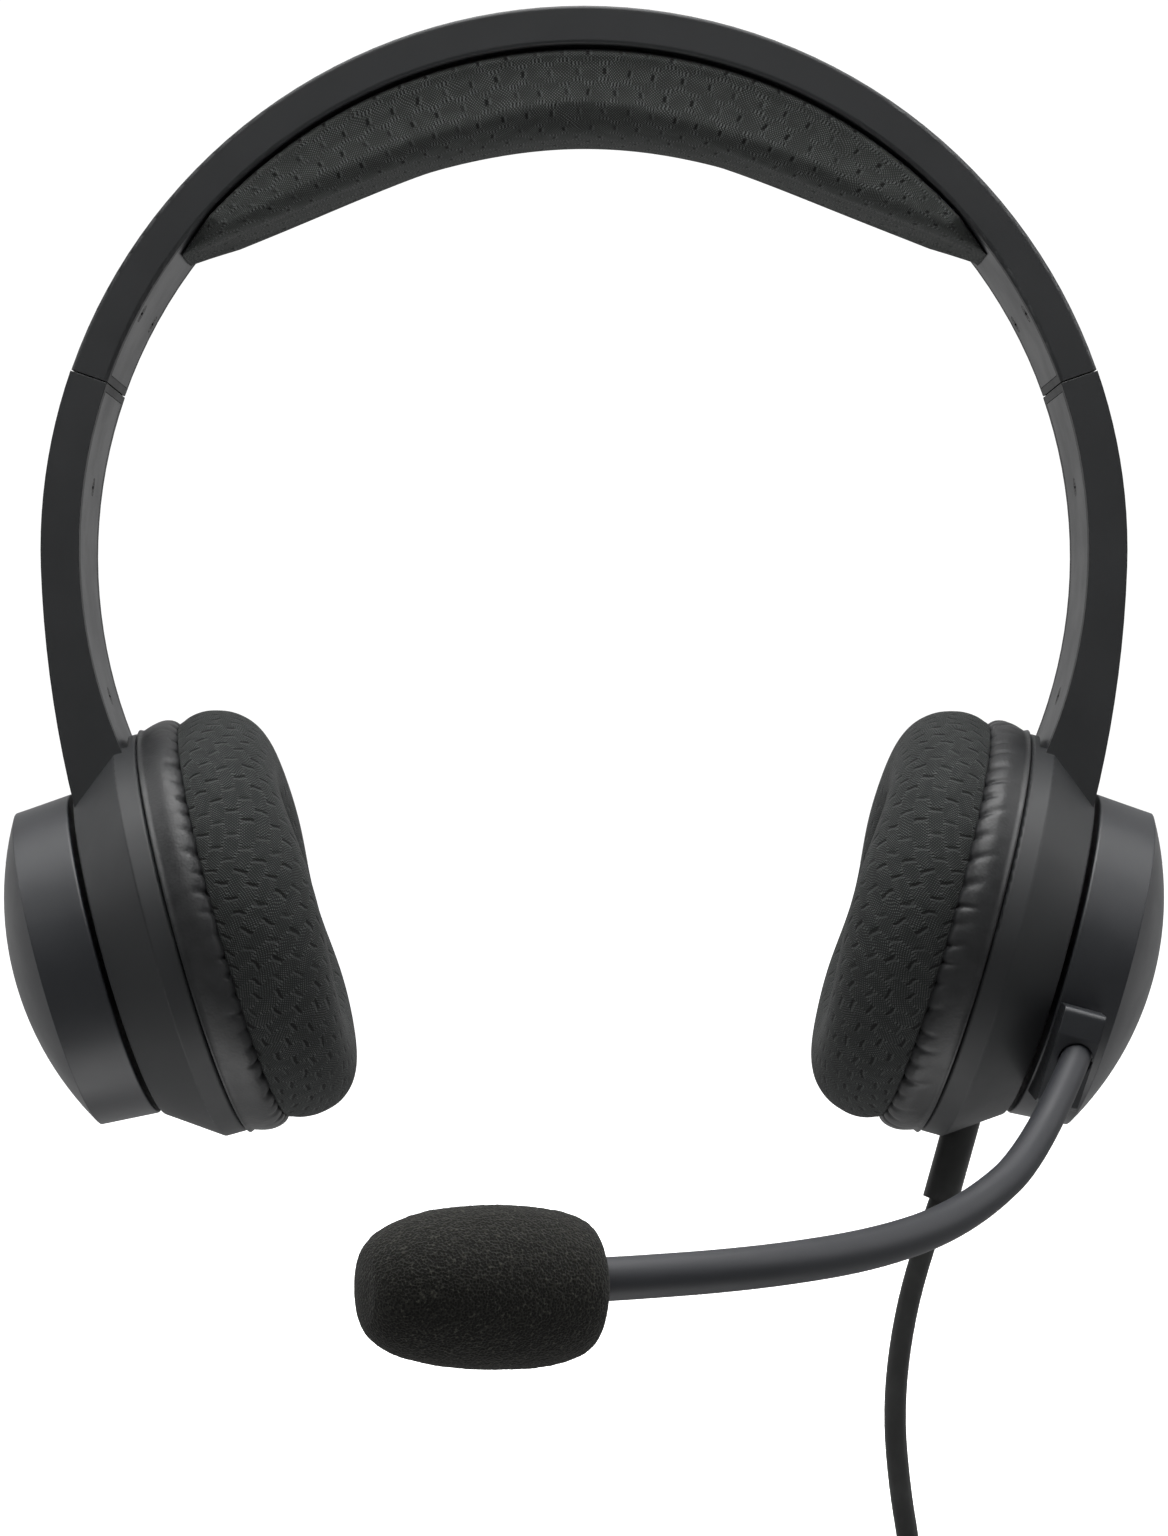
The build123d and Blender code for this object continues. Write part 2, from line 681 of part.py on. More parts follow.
def windscreen():
    rear = RectangleRounded(2 * FOAM_R, FOAM_L, FOAM_REAR_ROUND)
    front = RectangleRounded(2 * FOAM_R, FOAM_L, FOAM_ROUND)
    upper = Pos(0, FOAM_L / 2) * Rectangle(2 * FOAM_R, FOAM_L)
    lower = Pos(0, -FOAM_L / 2) * Rectangle(2 * FOAM_R, FOAM_L)
    right = Pos(FOAM_R, 0) * Rectangle(2 * FOAM_R, 2 * FOAM_L)
    face = ((rear & lower) + (front & upper)) & right
    foam = Pos(0, 0, FOAM_L / 2 - FOAM_OVERLAP) * revolve(Plane.XZ * face, Axis.Z)
    return FOAM_PLACE * (foam - disc(CAPSULE_HOLDER_R + GAP, -2 * FOAM_OVERLAP, HOLDER_END + GAP))


# ---------------------------------------------------------------- cable
FLANGE_FACE = RELIEF_FLANGE_T - RELIEF_INSIDE


def relief_place():
    """Frame at the housing's wall whose Z runs out of it, along the strain relief."""
    return CUP * Pos(-wall_radius(RELIEF_DEPTH), 0, -RELIEF_DEPTH) * Rot(0, -90, 0)


def wall_radius(depth):
    """Outer radius of the housing's cone at a depth."""
    share = (depth - RIM_DEPTH) / (HOUSING_DEPTH - RIM_DEPTH)
    return RIM_R + share * (HOUSING_BACK_R - RIM_R)


def relief_hole():
    """Hole in the wall and the seat of the flange behind it."""
    hole = disc(RELIEF_R + GAP, -RELIEF_INSIDE - 1, RELIEF_L)
    seat = disc(RELIEF_FLANGE_R + GAP, -RELIEF_INSIDE - 1, FLANGE_FACE + GAP)
    return relief_place() * (hole + seat)


def strain_relief():
    body = disc(RELIEF_R, -RELIEF_INSIDE, RELIEF_L)
    return relief_place() * (body + disc(RELIEF_FLANGE_R, -RELIEF_INSIDE, FLANGE_FACE))


def junction_board():
    board = Box(7.0, 18.0, 1.0)
    return CUP * Pos(-21.0, 0, -DRIVER_DEPTH + 1.2) * board


def cord_points():
    """The free cord's route, from the end of the strain relief."""
    return [tuple((relief_place() * Pos(0, 0, RELIEF_L)).position)] + CORD_ROUTE


def cord():
    return tube(cord_points(), CORD_D)


def coil_frame():
    return Pos(*COIL_CENTRE) * Rot(90, 0, 0)


def cord_coil():
    return coil_frame() * Torus(COIL_R, COIL_BUNDLE_R)


def cord_tie():
    """Band around the bundle at the top of the coil."""
    band = Cylinder(COIL_BUNDLE_R + TIE_T, TIE_W) - Cylinder(COIL_BUNDLE_R, 2 * TIE_W)
    x, y, z = COIL_CENTRE
    return Pos(x, y, z + COIL_R) * Rot(0, 90, 0) * band


def cord_tail():
    return tube(TAIL_ROUTE, CORD_D)


PLUG_TOP = Vector(*TAIL_ROUTE[-1])
PLUG_PLACE = Location(Plane(origin=PLUG_TOP, z_dir=(0, 0, -1)))


def plug_boot():
    return PLUG_PLACE * Pos(0, 0, PLUG_BOOT_L / 2) * Cone(0.6 * PLUG_R, 0.85 * PLUG_R, PLUG_BOOT_L)


def plug_body():
    barrel = Pos(0, 0, PLUG_BOOT_L + PLUG_BODY_L / 2) * Cylinder(PLUG_R, PLUG_BODY_L)
    ends = barrel.edges().filter_by(GeomType.CIRCLE)
    return PLUG_PLACE * fillet(ends, EDGE)


def pin_outline():
    """Half section of the pin: a straight shank and the rounded tip with its neck."""
    neck = PIN_L - PIN_TIP_L
    return Polyline(
        (0, 0), (PIN_R, 0), (PIN_R, neck - 0.9), (0.68 * PIN_R, neck), (PIN_R * 0.93, neck + 0.9),
        (0.45 * PIN_R, PIN_L), (0, PIN_L), close=True)


def insulator_ring(centre):
    ring = Cylinder(PIN_R, INSULATOR_W) - Cylinder(PIN_R - INSULATOR_DEPTH, 2 * INSULATOR_W)
    return Pos(0, 0, centre) * ring


def insulator_centres():
    return (3.2, 5.9, 8.6)


def pin_base():
    return PLUG_BOOT_L + PLUG_BODY_L


def plug_pin():
    pin = revolve(Plane.XZ * make_face(pin_outline()), Axis.Z)
    for centre in insulator_centres():
        pin -= insulator_ring(centre)
    return PLUG_PLACE * Pos(0, 0, pin_base()) * pin


def plug_insulators():
    rings = Compound([insulator_ring(centre) for centre in insulator_centres()])
    return PLUG_PLACE * Pos(0, 0, pin_base()) * rings


# ---------------------------------------------------------------- all pieces
MIDDLE = {
    "headband_shell": headband_shell,
    "headband_liner": headband_liner,
    "liner_screws": liner_screws,
    "spring_band": spring_band,
    "crossover_wire": crossover_wire,
    "headband_cushion": headband_cushion,
}
OWN_RIGHT = {"arm_housing": arm_housing}
BOTH_SIDES = {
    "slider_guide": slider_guide,
    "detent_leaf": detent_leaf,
    "slider_strip": slider_strip,
    "arm_housing": cable_side_housing,
    "arm_cover": arm_cover,
    "arm_screws": arm_screws,
    "outer_cap": outer_cap,
    "cap_base": cap_base,
    "cap_screws": cap_screws,
    "hub_retainer": hub_retainer,
    "baffle": baffle,
    "driver_frame": driver_frame,
    "driver_magnet": driver_magnet,
    "driver_diaphragm": driver_diaphragm,
    "speaker_cloth": speaker_cloth,
    "cushion_skirt": cushion_skirt,
    "cushion_foam": cushion_foam,
    "cushion_mesh": cushion_mesh,
}
LEFT_ONLY = {
    "friction_washer": friction_washer,
    "boom_socket": boom_socket,
    "boom_root": boom_root,
    "boom_sleeve": boom_sleeve,
    "boom_core": boom_core,
    "capsule_holder": capsule_holder,
    "mic_capsule": mic_capsule,
    "windscreen": windscreen,
    "junction_board": junction_board,
    "strain_relief": strain_relief,
    "cord": cord,
    "cord_coil": cord_coil,
    "cord_tie": cord_tie,
    "cord_tail": cord_tail,
    "plug_boot": plug_boot,
    "plug_body": plug_body,
    "plug_pin": plug_pin,
    "plug_insulators": plug_insulators,
}

os.makedirs("parts", exist_ok=True)
for name, make in {**MIDDLE, **LEFT_ONLY}.items():
    export_step(make(), f"parts/{name}.step")
for name, make in BOTH_SIDES.items():
    left = make()
    export_step(left, f"parts/{name}_left.step")
    right = OWN_RIGHT[name]() if name in OWN_RIGHT else left
    export_step(mirrored(right), f"parts/{name}_right.step")

print("cord radii", [round(r, 1) for r in route_radii(cord_points())])
print("tail radii", [round(r, 1) for r in route_radii(TAIL_ROUTE)])
print("cup centre", CUP_CENTRE)
print("arc centre", ARC_Z)
print("slider travel in degrees", along(TRAVEL))
print("ball", BALL)
print("plug pin's base", (PLUG_PLACE * Pos(0, 0, pin_base())).position)
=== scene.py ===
"""On-ear headset with a boom microphone: the cable, cushions, foam and finishes round its frame.

Metres, in the frame's own axes: +X is the wearer's left, -Y their front and +Z up. A cup's own
frame has X towards the band, Y backwards and Z towards the ear, from the middle of the cushion's
seat. Left pieces are modelled and the right ones are their mirror images.
"""

import json
from math import cos, exp, pi, radians, sin, sqrt, tau
import random

import bmesh
import bpy
from bpy.props import FloatProperty, FloatVectorProperty, PointerProperty
from mathutils import Matrix, Vector, noise

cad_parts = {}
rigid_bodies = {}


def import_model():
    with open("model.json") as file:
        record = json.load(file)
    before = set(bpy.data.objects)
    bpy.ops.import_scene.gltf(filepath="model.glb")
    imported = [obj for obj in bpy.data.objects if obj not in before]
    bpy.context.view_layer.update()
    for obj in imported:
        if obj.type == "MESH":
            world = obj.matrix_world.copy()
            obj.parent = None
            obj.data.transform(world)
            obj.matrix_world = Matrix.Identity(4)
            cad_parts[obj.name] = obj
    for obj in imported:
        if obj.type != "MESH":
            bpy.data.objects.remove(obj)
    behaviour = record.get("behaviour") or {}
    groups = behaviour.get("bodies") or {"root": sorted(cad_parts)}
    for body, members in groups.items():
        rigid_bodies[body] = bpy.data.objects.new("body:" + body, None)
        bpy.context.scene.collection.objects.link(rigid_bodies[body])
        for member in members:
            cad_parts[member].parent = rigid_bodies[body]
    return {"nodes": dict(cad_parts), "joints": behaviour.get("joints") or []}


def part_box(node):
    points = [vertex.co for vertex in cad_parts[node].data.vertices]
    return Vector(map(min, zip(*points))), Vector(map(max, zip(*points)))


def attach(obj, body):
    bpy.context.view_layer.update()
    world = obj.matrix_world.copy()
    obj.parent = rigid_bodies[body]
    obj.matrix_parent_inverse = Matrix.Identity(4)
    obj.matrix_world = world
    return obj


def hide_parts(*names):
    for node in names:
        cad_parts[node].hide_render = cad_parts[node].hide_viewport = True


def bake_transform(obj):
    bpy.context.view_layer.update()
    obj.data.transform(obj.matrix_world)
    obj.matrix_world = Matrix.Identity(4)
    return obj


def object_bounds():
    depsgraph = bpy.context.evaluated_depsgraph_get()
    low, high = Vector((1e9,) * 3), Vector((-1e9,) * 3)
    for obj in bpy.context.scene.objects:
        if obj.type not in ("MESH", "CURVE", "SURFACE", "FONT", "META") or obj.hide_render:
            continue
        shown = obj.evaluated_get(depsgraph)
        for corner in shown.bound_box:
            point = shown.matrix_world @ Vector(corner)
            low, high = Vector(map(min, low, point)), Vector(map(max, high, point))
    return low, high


bl_info = {
    "name": "Boom Headset",
    "version": (1, 0, 0),
    "blender": (4, 5, 0),
    "location": "View3D > Sidebar > Headset",
    "description": "Builds the cable, cushions, foam and finishes of an on-ear headset",
    "category": "Object",
}

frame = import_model()
CAD_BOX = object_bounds()
MM = 0.001
JOINTS = {joint["name"]: joint for joint in frame["joints"]}

# Frame of the left cup and of the band
CUP_CENTRE = Vector(JOINTS["mic_turret_turn"]["pos_m"])
EARWARD = Vector(JOINTS["mic_turret_turn"]["axis"]).normalized()
BACKWARD = Vector((0, 1, 0))
RIMWARD = BACKWARD.cross(EARWARD)
BAND_CENTRE = Vector(JOINTS["left_arm_slide"]["pos_m"])
MIRROR = Matrix.Scale(-1, 4, (1, 0, 0))

# Points that steer the hanging cable from its strain relief to the coil
CORD_ROUTE = [
    (0.0513, 0.0, -0.1723),
    (0.0486, 0.0, -0.1843),
    (0.0476, 0.0, -0.1960),
    (0.0487, 0.0, -0.2080),
    (0.0502, -0.0004, -0.2165),
    (0.0490, -0.0004, -0.2228),
]
# and from the coil to the plug's boot
TAIL_ROUTE = [
    (0.0443, -0.0077, -0.2330),
    (0.0424, -0.0112, -0.2372),
    (0.0418, -0.0123, -0.2440),
]
COIL_CENTRE = Vector((0.051, 0.0, -0.249))
COIL_R = 0.019            # of the turn that the cable joins first
TURN_PITCH = 1.03         # between two turns, in cord diameters
TURN_STEPS = 16           # points in a full circle
TURN_POINTS = 14          # points before the cord moves over to its next place
ENTRY_ANGLE = radians(112)
EXIT_ANGLE = radians(97)

# Points that steer the boom, from inside its block to the foam
BOOM_ROUTE = [
    (0.0734, -0.0268, -0.1366),
    (0.0652, -0.0450, -0.1505),
    (0.0541, -0.0600, -0.1580),
    (0.0412, -0.0750, -0.1612),
    (0.0232, -0.0920, -0.1620),
    (0.0033, -0.1040, -0.1620),
]
FOAM_DIRECTION = Vector((-0.945, -0.325, 0.035)).normalized()
FOAM_START = Vector((0.0014, -0.10465, -0.16285))   # middle of its flat end


# ------------------------------------------------------------------ settings
def length(name, default, description):
    """A size in metres that a user may change."""
    return FloatProperty(
        name=name, default=default, description=description, unit="LENGTH", subtype="DISTANCE",
        precision=5)


def colour(name, default, description):
    """A colour that a user may change, as linear red, green and blue."""
    return FloatVectorProperty(
        name=name, default=default, description=description, subtype="COLOR", size=3,
        min=0.0, max=1.0)


class HeadsetSizes(bpy.types.PropertyGroup):
    """Sizes of the pieces that are made here"""
    cord_diameter: length("Cord diameter", 0.0034, "Outer diameter of the cable")
    cord_length: length("Cord length", 1.8, "Whole length of the cable")
    boom_root: length("Boom at the socket", 0.0043, "Diameter where the boom leaves its block")
    boom_tip: length("Boom at the foam", 0.0057, "Diameter where the boom enters the windscreen")
    foam_radius: length("Foam radius", 0.01045, "Radius of the windscreen")
    foam_length: length("Foam length", 0.0314, "Length of the windscreen")
    foam_cell: length("Foam cell", 0.00042, "Size of the windscreen's pores")
    slit_pitch: length("Slit pitch", 0.0044, "Distance between slits in a column of ear fabric")
    slit_column: length("Slit column", 0.0021, "Width of one column of slits in the ear fabric")
    pad_pitch: length("Pad slit pitch", 0.0039, "Distance between slits in a column of pad fabric")
    pad_column: length("Pad slit column", 0.0031, "Width of one column of slits in the pad fabric")
    gather_pitch: length("Gather pitch", 0.0036, "Average distance between the gathers")
    gather_depth: length("Gather depth", 0.00045, "Depth of the gathers at the seam")


class HeadsetColours(bpy.types.PropertyGroup):
    """Colours of the headset's finishes"""
    shell: colour("Shell", (0.0145, 0.0155, 0.0168), "Soft-touch band and arms")
    satin: colour("Satin", (0.0190, 0.0203, 0.0232), "Satin covers and caps")
    leather: colour("Leatherette", (0.0165, 0.0170, 0.0178), "Gathered side of the ear cushions")
    fabric: colour("Fabric", (0.0145, 0.0162, 0.0157), "Knitted cover of the ear cushions")
    pad: colour("Pad fabric", (0.0300, 0.0325, 0.0305), "Knitted cover of the headband cushion")
    thread: colour("Thread", (0.100, 0.106, 0.104), "Light thread of the knitted covers")
    foam: colour("Foam", (0.0058, 0.0058, 0.0048), "Windscreen")
    boom: colour("Boom", (0.0150, 0.0160, 0.0195), "Skin of the boom")
    rubber: colour("Rubber", (0.0235, 0.0240, 0.0235), "Cable and strain relief")


# ------------------------------------------------------------------ materials
class Finish:
    """A material being put together: its shader and the nodes that feed it."""

    def __init__(self, name, base, roughness, coords="Object", **shader):
        self.material = bpy.data.materials.new(name)
        self.material.use_nodes = True
        self.tree = self.material.node_tree
        self.shader = self.tree.nodes["Principled BSDF"]
        self.base = base
        self.set(self.shader, {"Base Color": (*base, 1.0), "Roughness": roughness, **shader})
        self.place = self.tree.nodes.new("ShaderNodeTexCoord").outputs[coords]

    def set(self, node, values):
        """Gives a node's inputs their values, or links them where the value is a socket."""
        for name, value in values.items():
            if isinstance(value, bpy.types.NodeSocket):
                self.tree.links.new(value, node.inputs[name])
            else:
                node.inputs[name].default_value = value

    def node(self, kind, values, output=0, **settings):
        """Adds a node with its inputs and settings, and gives the output asked for."""
        made = self.tree.nodes.new("ShaderNode" + kind)
        for name, value in settings.items():
            setattr(made, name, value)
        self.set(made, values)
        return made.outputs[output]

    def noise(self, size, detail=3.0, roughness=0.55):
        """Soft noise whose features are about that size in metres."""
        values = {"Vector": self.place, "Scale": 1 / size, "Detail": detail, "Roughness": roughness}
        return self.node("TexNoise", values)

    def cells(self, size, feature="F1", randomness=1.0):
        """Distance inside cells of about that size in metres."""
        values = {"Vector": self.place, "Scale": 1 / size, "Randomness": randomness}
        return self.node("TexVoronoi", values, feature=feature)

    def maths(self, operation, *values):
        """Result of a sum on numbers or sockets."""
        made = self.tree.nodes.new("ShaderNodeMath")
        made.operation = operation
        self.set(made, dict(enumerate(values)))
        return made.outputs[0]

    def ranged(self, value, low, high, to_low, to_high):
        """A value between low and high, eased to the other two."""
        values = {
            "Value": value, "From Min": low, "From Max": high, "To Min": to_low, "To Max": to_high}
        return self.node("MapRange", values, interpolation_type="SMOOTHSTEP")

    def blended(self, share, first, second):
        """The first colour where the share is 0 and the second where it is 1."""
        values = {"Factor": share}
        for place, shade in ((6, first), (7, second)):
            is_socket = isinstance(shade, bpy.types.NodeSocket)
            values[place] = shade if is_socket else (*shade, 1.0)
        return self.node("Mix", values, output=2, data_type="RGBA")

    def tint(self, share, light):
        """Colours the surface from its base to a lighter or darker share of it."""
        second = tuple(light * c for c in self.base)
        self.set(self.shader, {"Base Color": self.blended(share, self.base, second)})

    def bump(self, height, distance, strength=1.0, under=None):
        """Raises the surface by a height in metres, over the normal that is under it."""
        values = {"Height": height, "Distance": distance, "Strength": strength}
        if under is not None:
            values["Normal"] = under
        normal = self.node("Bump", values)
        self.set(self.shader, {"Normal": normal})
        return normal


def moulded(name, base, rough_low, rough_high, grain, edge=0.18 * MM, **shader):
    """Moulded plastic: softened edges, fine erosion grain and slight handling marks."""
    made = Finish(name, base, rough_low, **shader)
    marks = made.noise(14 * MM, 4.0, 0.6)
    made.set(made.shader, {"Roughness": made.ranged(marks, 0.3, 0.7, rough_low, rough_high)})
    made.tint(made.ranged(marks, 0.25, 0.75, 0.0, 1.0), 1.18)
    rounded = made.node("Bevel", {"Radius": edge}, samples=6)
    fine = made.maths("ADD", made.noise(grain, 2.0), made.maths("MULTIPLY", marks, 0.4))
    made.bump(fine, 0.02 * MM, 0.45, under=rounded)
    return made.material


def shell_finish(colours):
    """Soft-touch plastic of the band and arms."""
    return moulded("soft_touch_shell", colours.shell, 0.52, 0.62, 0.22 * MM)


def satin_finish(colours):
    """Satin plastic of the covers and caps, with rounder edges."""
    return moulded("satin_plastic", colours.satin, 0.36, 0.44, 0.16 * MM, 0.35 * MM)


def leather_finish(colours):
    """Thin leatherette: pebble grain and soft creases."""
    made = Finish("leatherette", colours.leather, 0.42, **{"Specular IOR Level": 0.42})
    pebble = made.cells(0.42 * MM, "SMOOTH_F1", 0.9)
    creases = made.noise(2.6 * MM, 4.0)
    made.tint(made.ranged(creases, 0.3, 0.7, 0.0, 1.0), 1.25)
    made.set(made.shader, {"Roughness": made.ranged(creases, 0.3, 0.7, 0.40, 0.50)})
    first = made.bump(creases, 0.12 * MM, 0.35)
    made.bump(pebble, 0.05 * MM, 0.5, under=first)
    return made.material


SLIT_HALF = 0.20 * MM     # half the width of a slit in the knit
RUNG_PITCH = 0.52 * MM
LOOP_PITCH = 0.46 * MM
# near-black painted shade for the inside of the slits and the gaps between rungs
HOLE_SHADE_COLOUR = (0.001, 0.001, 0.001)


def fabric_finish(name, base, thread, pitch, column, share, loops):
    """Knitted cover: staggered slits painted with near-black shade, a painted highlight along one
    edge of each slit, ladders of light thread at their ends and a grid of loops.

    The map of the cloth counts pitches in one direction and columns in the other. share is the
    part of a column that a slit takes and loops is how much the grid shows.
    """
    made = Finish(name, base, 0.85, **{
        "Sheen Weight": 0.05, "Sheen Roughness": 0.5, "Specular IOR Level": 0.2})
    weave = made.tree.nodes.new("ShaderNodeUVMap")
    weave.uv_map = "weave"
    drift = made.node("TexNoise", {"Vector": weave.outputs[0], "Scale": 0.6, "Detail": 2.0})
    split = made.tree.nodes.new("ShaderNodeSeparateXYZ")
    made.set(split, {"Vector": weave.outputs[0]})
    along = made.maths("ADD", split.outputs[0], made.ranged(drift, 0.2, 0.8, -0.10, 0.10))
    across = made.maths("ADD", split.outputs[1], made.ranged(drift, 0.2, 0.8, 0.08, -0.08))
    # the cell of the nearest slit, and its own chance
    place = made.maths("FLOOR", across)
    shifted = made.maths("ADD", along, made.maths(
        "MULTIPLY", made.maths("MODULO", place, 2.0), 0.5))
    cell = made.node("CombineXYZ", {"X": place, "Y": made.maths("FLOOR", shifted)})
    chance = made.node("TexWhiteNoise", {"Vector": cell})
    off_middle = made.maths("SUBTRACT", made.maths("FRACT", across), 0.5)
    off_column = made.maths("ABSOLUTE", off_middle)
    lean = made.maths("MULTIPLY", off_middle, made.ranged(chance, 0.0, 1.0, -0.06, 0.06))
    middle = made.ranged(chance, 0.0, 1.0, 0.46, 0.54)
    beside = made.maths("SUBTRACT", made.maths("ADD", made.maths("FRACT", shifted), lean), middle)
    off_row = made.maths("ABSOLUTE", beside)
    half = SLIT_HALF / pitch
    ends = made.ranged(off_column, 0.5 * share - 0.08, 0.5 * share + 0.03, 1.0, 0.0)
    slit = made.maths("MULTIPLY", made.ranged(off_row, 0.6 * half, 1.7 * half, 1.0, 0.0), ends)
    slit = made.maths("MULTIPLY", slit, made.ranged(chance, 0.0, 0.5, 0.35, 0.85))
    # a painted highlight: a light band along one edge of each slit, drawn in the light thread's
    # colour
    off_edge_highlight = made.maths("ABSOLUTE", made.maths("ADD", beside, 2.3 * half))
    edge_highlight = made.maths("MULTIPLY", ends, made.ranged(off_edge_highlight, 0.4 * half, 1.2 * half, 0.3, 0.0))
    # rungs of thread where the slits end, in patches
    rungs = made.maths("SINE", made.maths("MULTIPLY", along, tau * pitch / RUNG_PITCH))
    patch = made.node("TexNoise", {"Vector": weave.outputs[0], "Scale": 1.3, "Detail": 1.0})
    ladder = made.maths("MULTIPLY", made.ranged(off_row, 0.16, 0.30, 1.0, 0.0),
                        made.ranged(patch, 0.35, 0.55, 0.3, 1.0))
    zone = made.maths("MULTIPLY", made.ranged(off_column, 0.22, 0.38, 0.0, 1.0), ladder)
    light = made.maths("MULTIPLY", zone, made.ranged(rungs, 0.1, 0.8, 0.0, 1.0))
    dark = made.maths("MULTIPLY", zone, made.ranged(rungs, -0.8, -0.1, 1.0, 0.0))
    # loops of the knit
    rows = made.maths("SINE", made.maths("MULTIPLY", along, tau * pitch / LOOP_PITCH))
    columns = made.maths("SINE", made.maths("MULTIPLY", across, tau * column / LOOP_PITCH))
    knit = made.ranged(made.maths("MULTIPLY", rows, columns), 0.1, 0.9, 0.0, loops)
    beads = made.maths("MULTIPLY", knit, made.ranged(patch, 0.35, 0.65, 0.5, 1.0))
    light = made.maths("MULTIPLY", light, 0.65)
    # lit holds the light thread of the loops and rungs together with the painted edge highlight
    lit = made.maths("MAXIMUM", made.maths("MAXIMUM", beads, edge_highlight), light)
    # the slits and the dark gaps between rungs are painted with near-black shade
    shaded = made.maths("MAXIMUM", slit, made.maths("MULTIPLY", dark, 0.7))
    threaded = made.blended(lit, base, thread)
    with_hole_shade = made.blended(shaded, threaded, HOLE_SHADE_COLOUR)
    made.set(made.shader, {"Base Color": with_hole_shade})
    pillow = made.maths("SUBTRACT", made.ranged(off_row, 0.0, 0.2, 0.0, 0.3), slit)
    first = made.bump(pillow, 0.14 * MM, 0.7)
    relief = made.maths("SUBTRACT", lit, made.maths("MULTIPLY", dark, 0.6))
    made.bump(relief, 0.08 * MM, 0.7, under=first)
    return made.material


def foam_finish(colours, sizes):
    """Open-cell foam: dark pores between thin, lighter walls, with a few bright specks."""
    made = Finish("windscreen_foam", colours.foam, 0.9, **{
        "Specular IOR Level": 0.15, "Sheen Weight": 0.04, "Sheen Roughness": 0.6})
    pores = made.cells(0.8 * sizes.foam_cell, "F1")
    walls = made.ranged(pores, 0.35, 0.8, 0.0, 1.0)
    specks = made.ranged(made.noise(0.45 * MM, 1.0), 0.58, 0.66, 0.0, 1.0)
    made.tint(made.maths("ADD", made.maths("MULTIPLY", walls, 0.30), made.maths(
        "MULTIPLY", made.maths("MULTIPLY", walls, specks), 0.7)), 7.0)
    first = made.bump(made.noise(0.5 * MM, 3.0), 0.12 * MM, 0.6)
    made.bump(walls, 0.12 * MM, 0.8, under=first)
    return made.material


def rubber_finish(name, base, low, high):
    """Extruded or moulded rubber: satin, with faint die lines and dust."""
    made = Finish(name, base, low)
    dust = made.noise(5 * MM, 5.0, 0.65)
    made.set(made.shader, {"Roughness": made.ranged(dust, 0.3, 0.7, low, high)})
    made.tint(made.ranged(dust, 0.4, 0.75, 0.0, 1.0), 1.4)
    made.bump(made.noise(0.35 * MM, 2.0), 0.02 * MM, 0.5)
    return made.material


def metal_finish(name, base, roughness, scratch):
    """Turned or rolled metal with fine scratches along its length."""
    made = Finish(name, base, roughness, **{"Metallic": 1.0})
    stretched = made.node("Mapping", {"Vector": made.place, "Scale": (1.0, 1.0, 12.0)})
    marks = made.node("TexNoise", {"Vector": stretched, "Scale": 1 / scratch, "Detail": 3.0})
    made.set(made.shader, {"Roughness": made.ranged(marks, 0.3, 0.7, roughness, roughness + 0.14)})
    made.tint(made.ranged(marks, 0.3, 0.7, 0.0, 1.0), 0.82)
    made.bump(marks, 0.006 * MM, 0.4)
    return made.material


def cloth_finish(colours):
    """Fine acoustic cloth over the driver."""
    made = Finish("acoustic_cloth", colours.fabric, 0.9, **{"Specular IOR Level": 0.15})
    threads = made.node("TexWave", {"Vector": made.place, "Scale": 420.0, "Distortion": 0.6})
    crossing = made.node("TexWave", {"Vector": made.place, "Scale": 420.0, "Distortion": 0.6},
                         bands_direction="Z")
    weave = made.maths("MULTIPLY", threads, crossing)
    made.tint(weave, 2.2)
    made.bump(weave, 0.05 * MM, 0.6)
    return made.material


def film_finish():
    """Thin speaker film, with a faint ripple."""
    made = Finish("diaphragm_film", (0.5, 0.48, 0.42), 0.25, **{"Coat Weight": 0.3})
    ripple = made.noise(3 * MM, 2.0)
    made.tint(ripple, 0.8)
    made.bump(ripple, 0.05 * MM, 0.4)
    return made.material


def board_finish():
    """Solder mask over a copper pattern."""
    made = Finish("circuit_board", (0.02, 0.10, 0.045), 0.35)
    tracks = made.cells(1.6 * MM, "F1", 0.4)
    made.tint(made.ranged(tracks, 0.35, 0.45, 0.0, 1.0), 1.9)
    made.bump(made.ranged(tracks, 0.35, 0.45, 0.0, 1.0), 0.03 * MM, 0.5)
    return made.material


# ------------------------------------------------------------------ modelling helpers
def cup_place(side):
    """Matrix from a cup's own frame to the headset's."""
    axes = Matrix((RIMWARD, BACKWARD, EARWARD)).transposed().to_4x4()
    place = Matrix.Translation(CUP_CENTRE) @ axes
    return place if side == "left" else MIRROR @ place


def as_piece(name, mesh, material):
    """New object from a mesh that is already in place."""
    piece = bpy.data.objects.new(name, mesh)
    bpy.context.scene.collection.objects.link(piece)
    piece.data.materials.append(material)
    return piece


def none_selected():
    """Deselects every object, so that an operator acts on the new piece alone."""
    for other in bpy.context.view_layer.objects:
        other.select_set(False)


def only(piece):
    """Selects nothing but this piece."""
    none_selected()
    piece.select_set(True)
    bpy.context.view_layer.objects.active = piece


def applied(piece, kind, **settings):
    """Adds a modifier and applies it."""
    only(piece)
    modifier = piece.modifiers.new(kind.title(), kind)
    for name, value in settings.items():
        setattr(modifier, name, value)
    bpy.ops.object.modifier_apply(modifier=modifier.name)


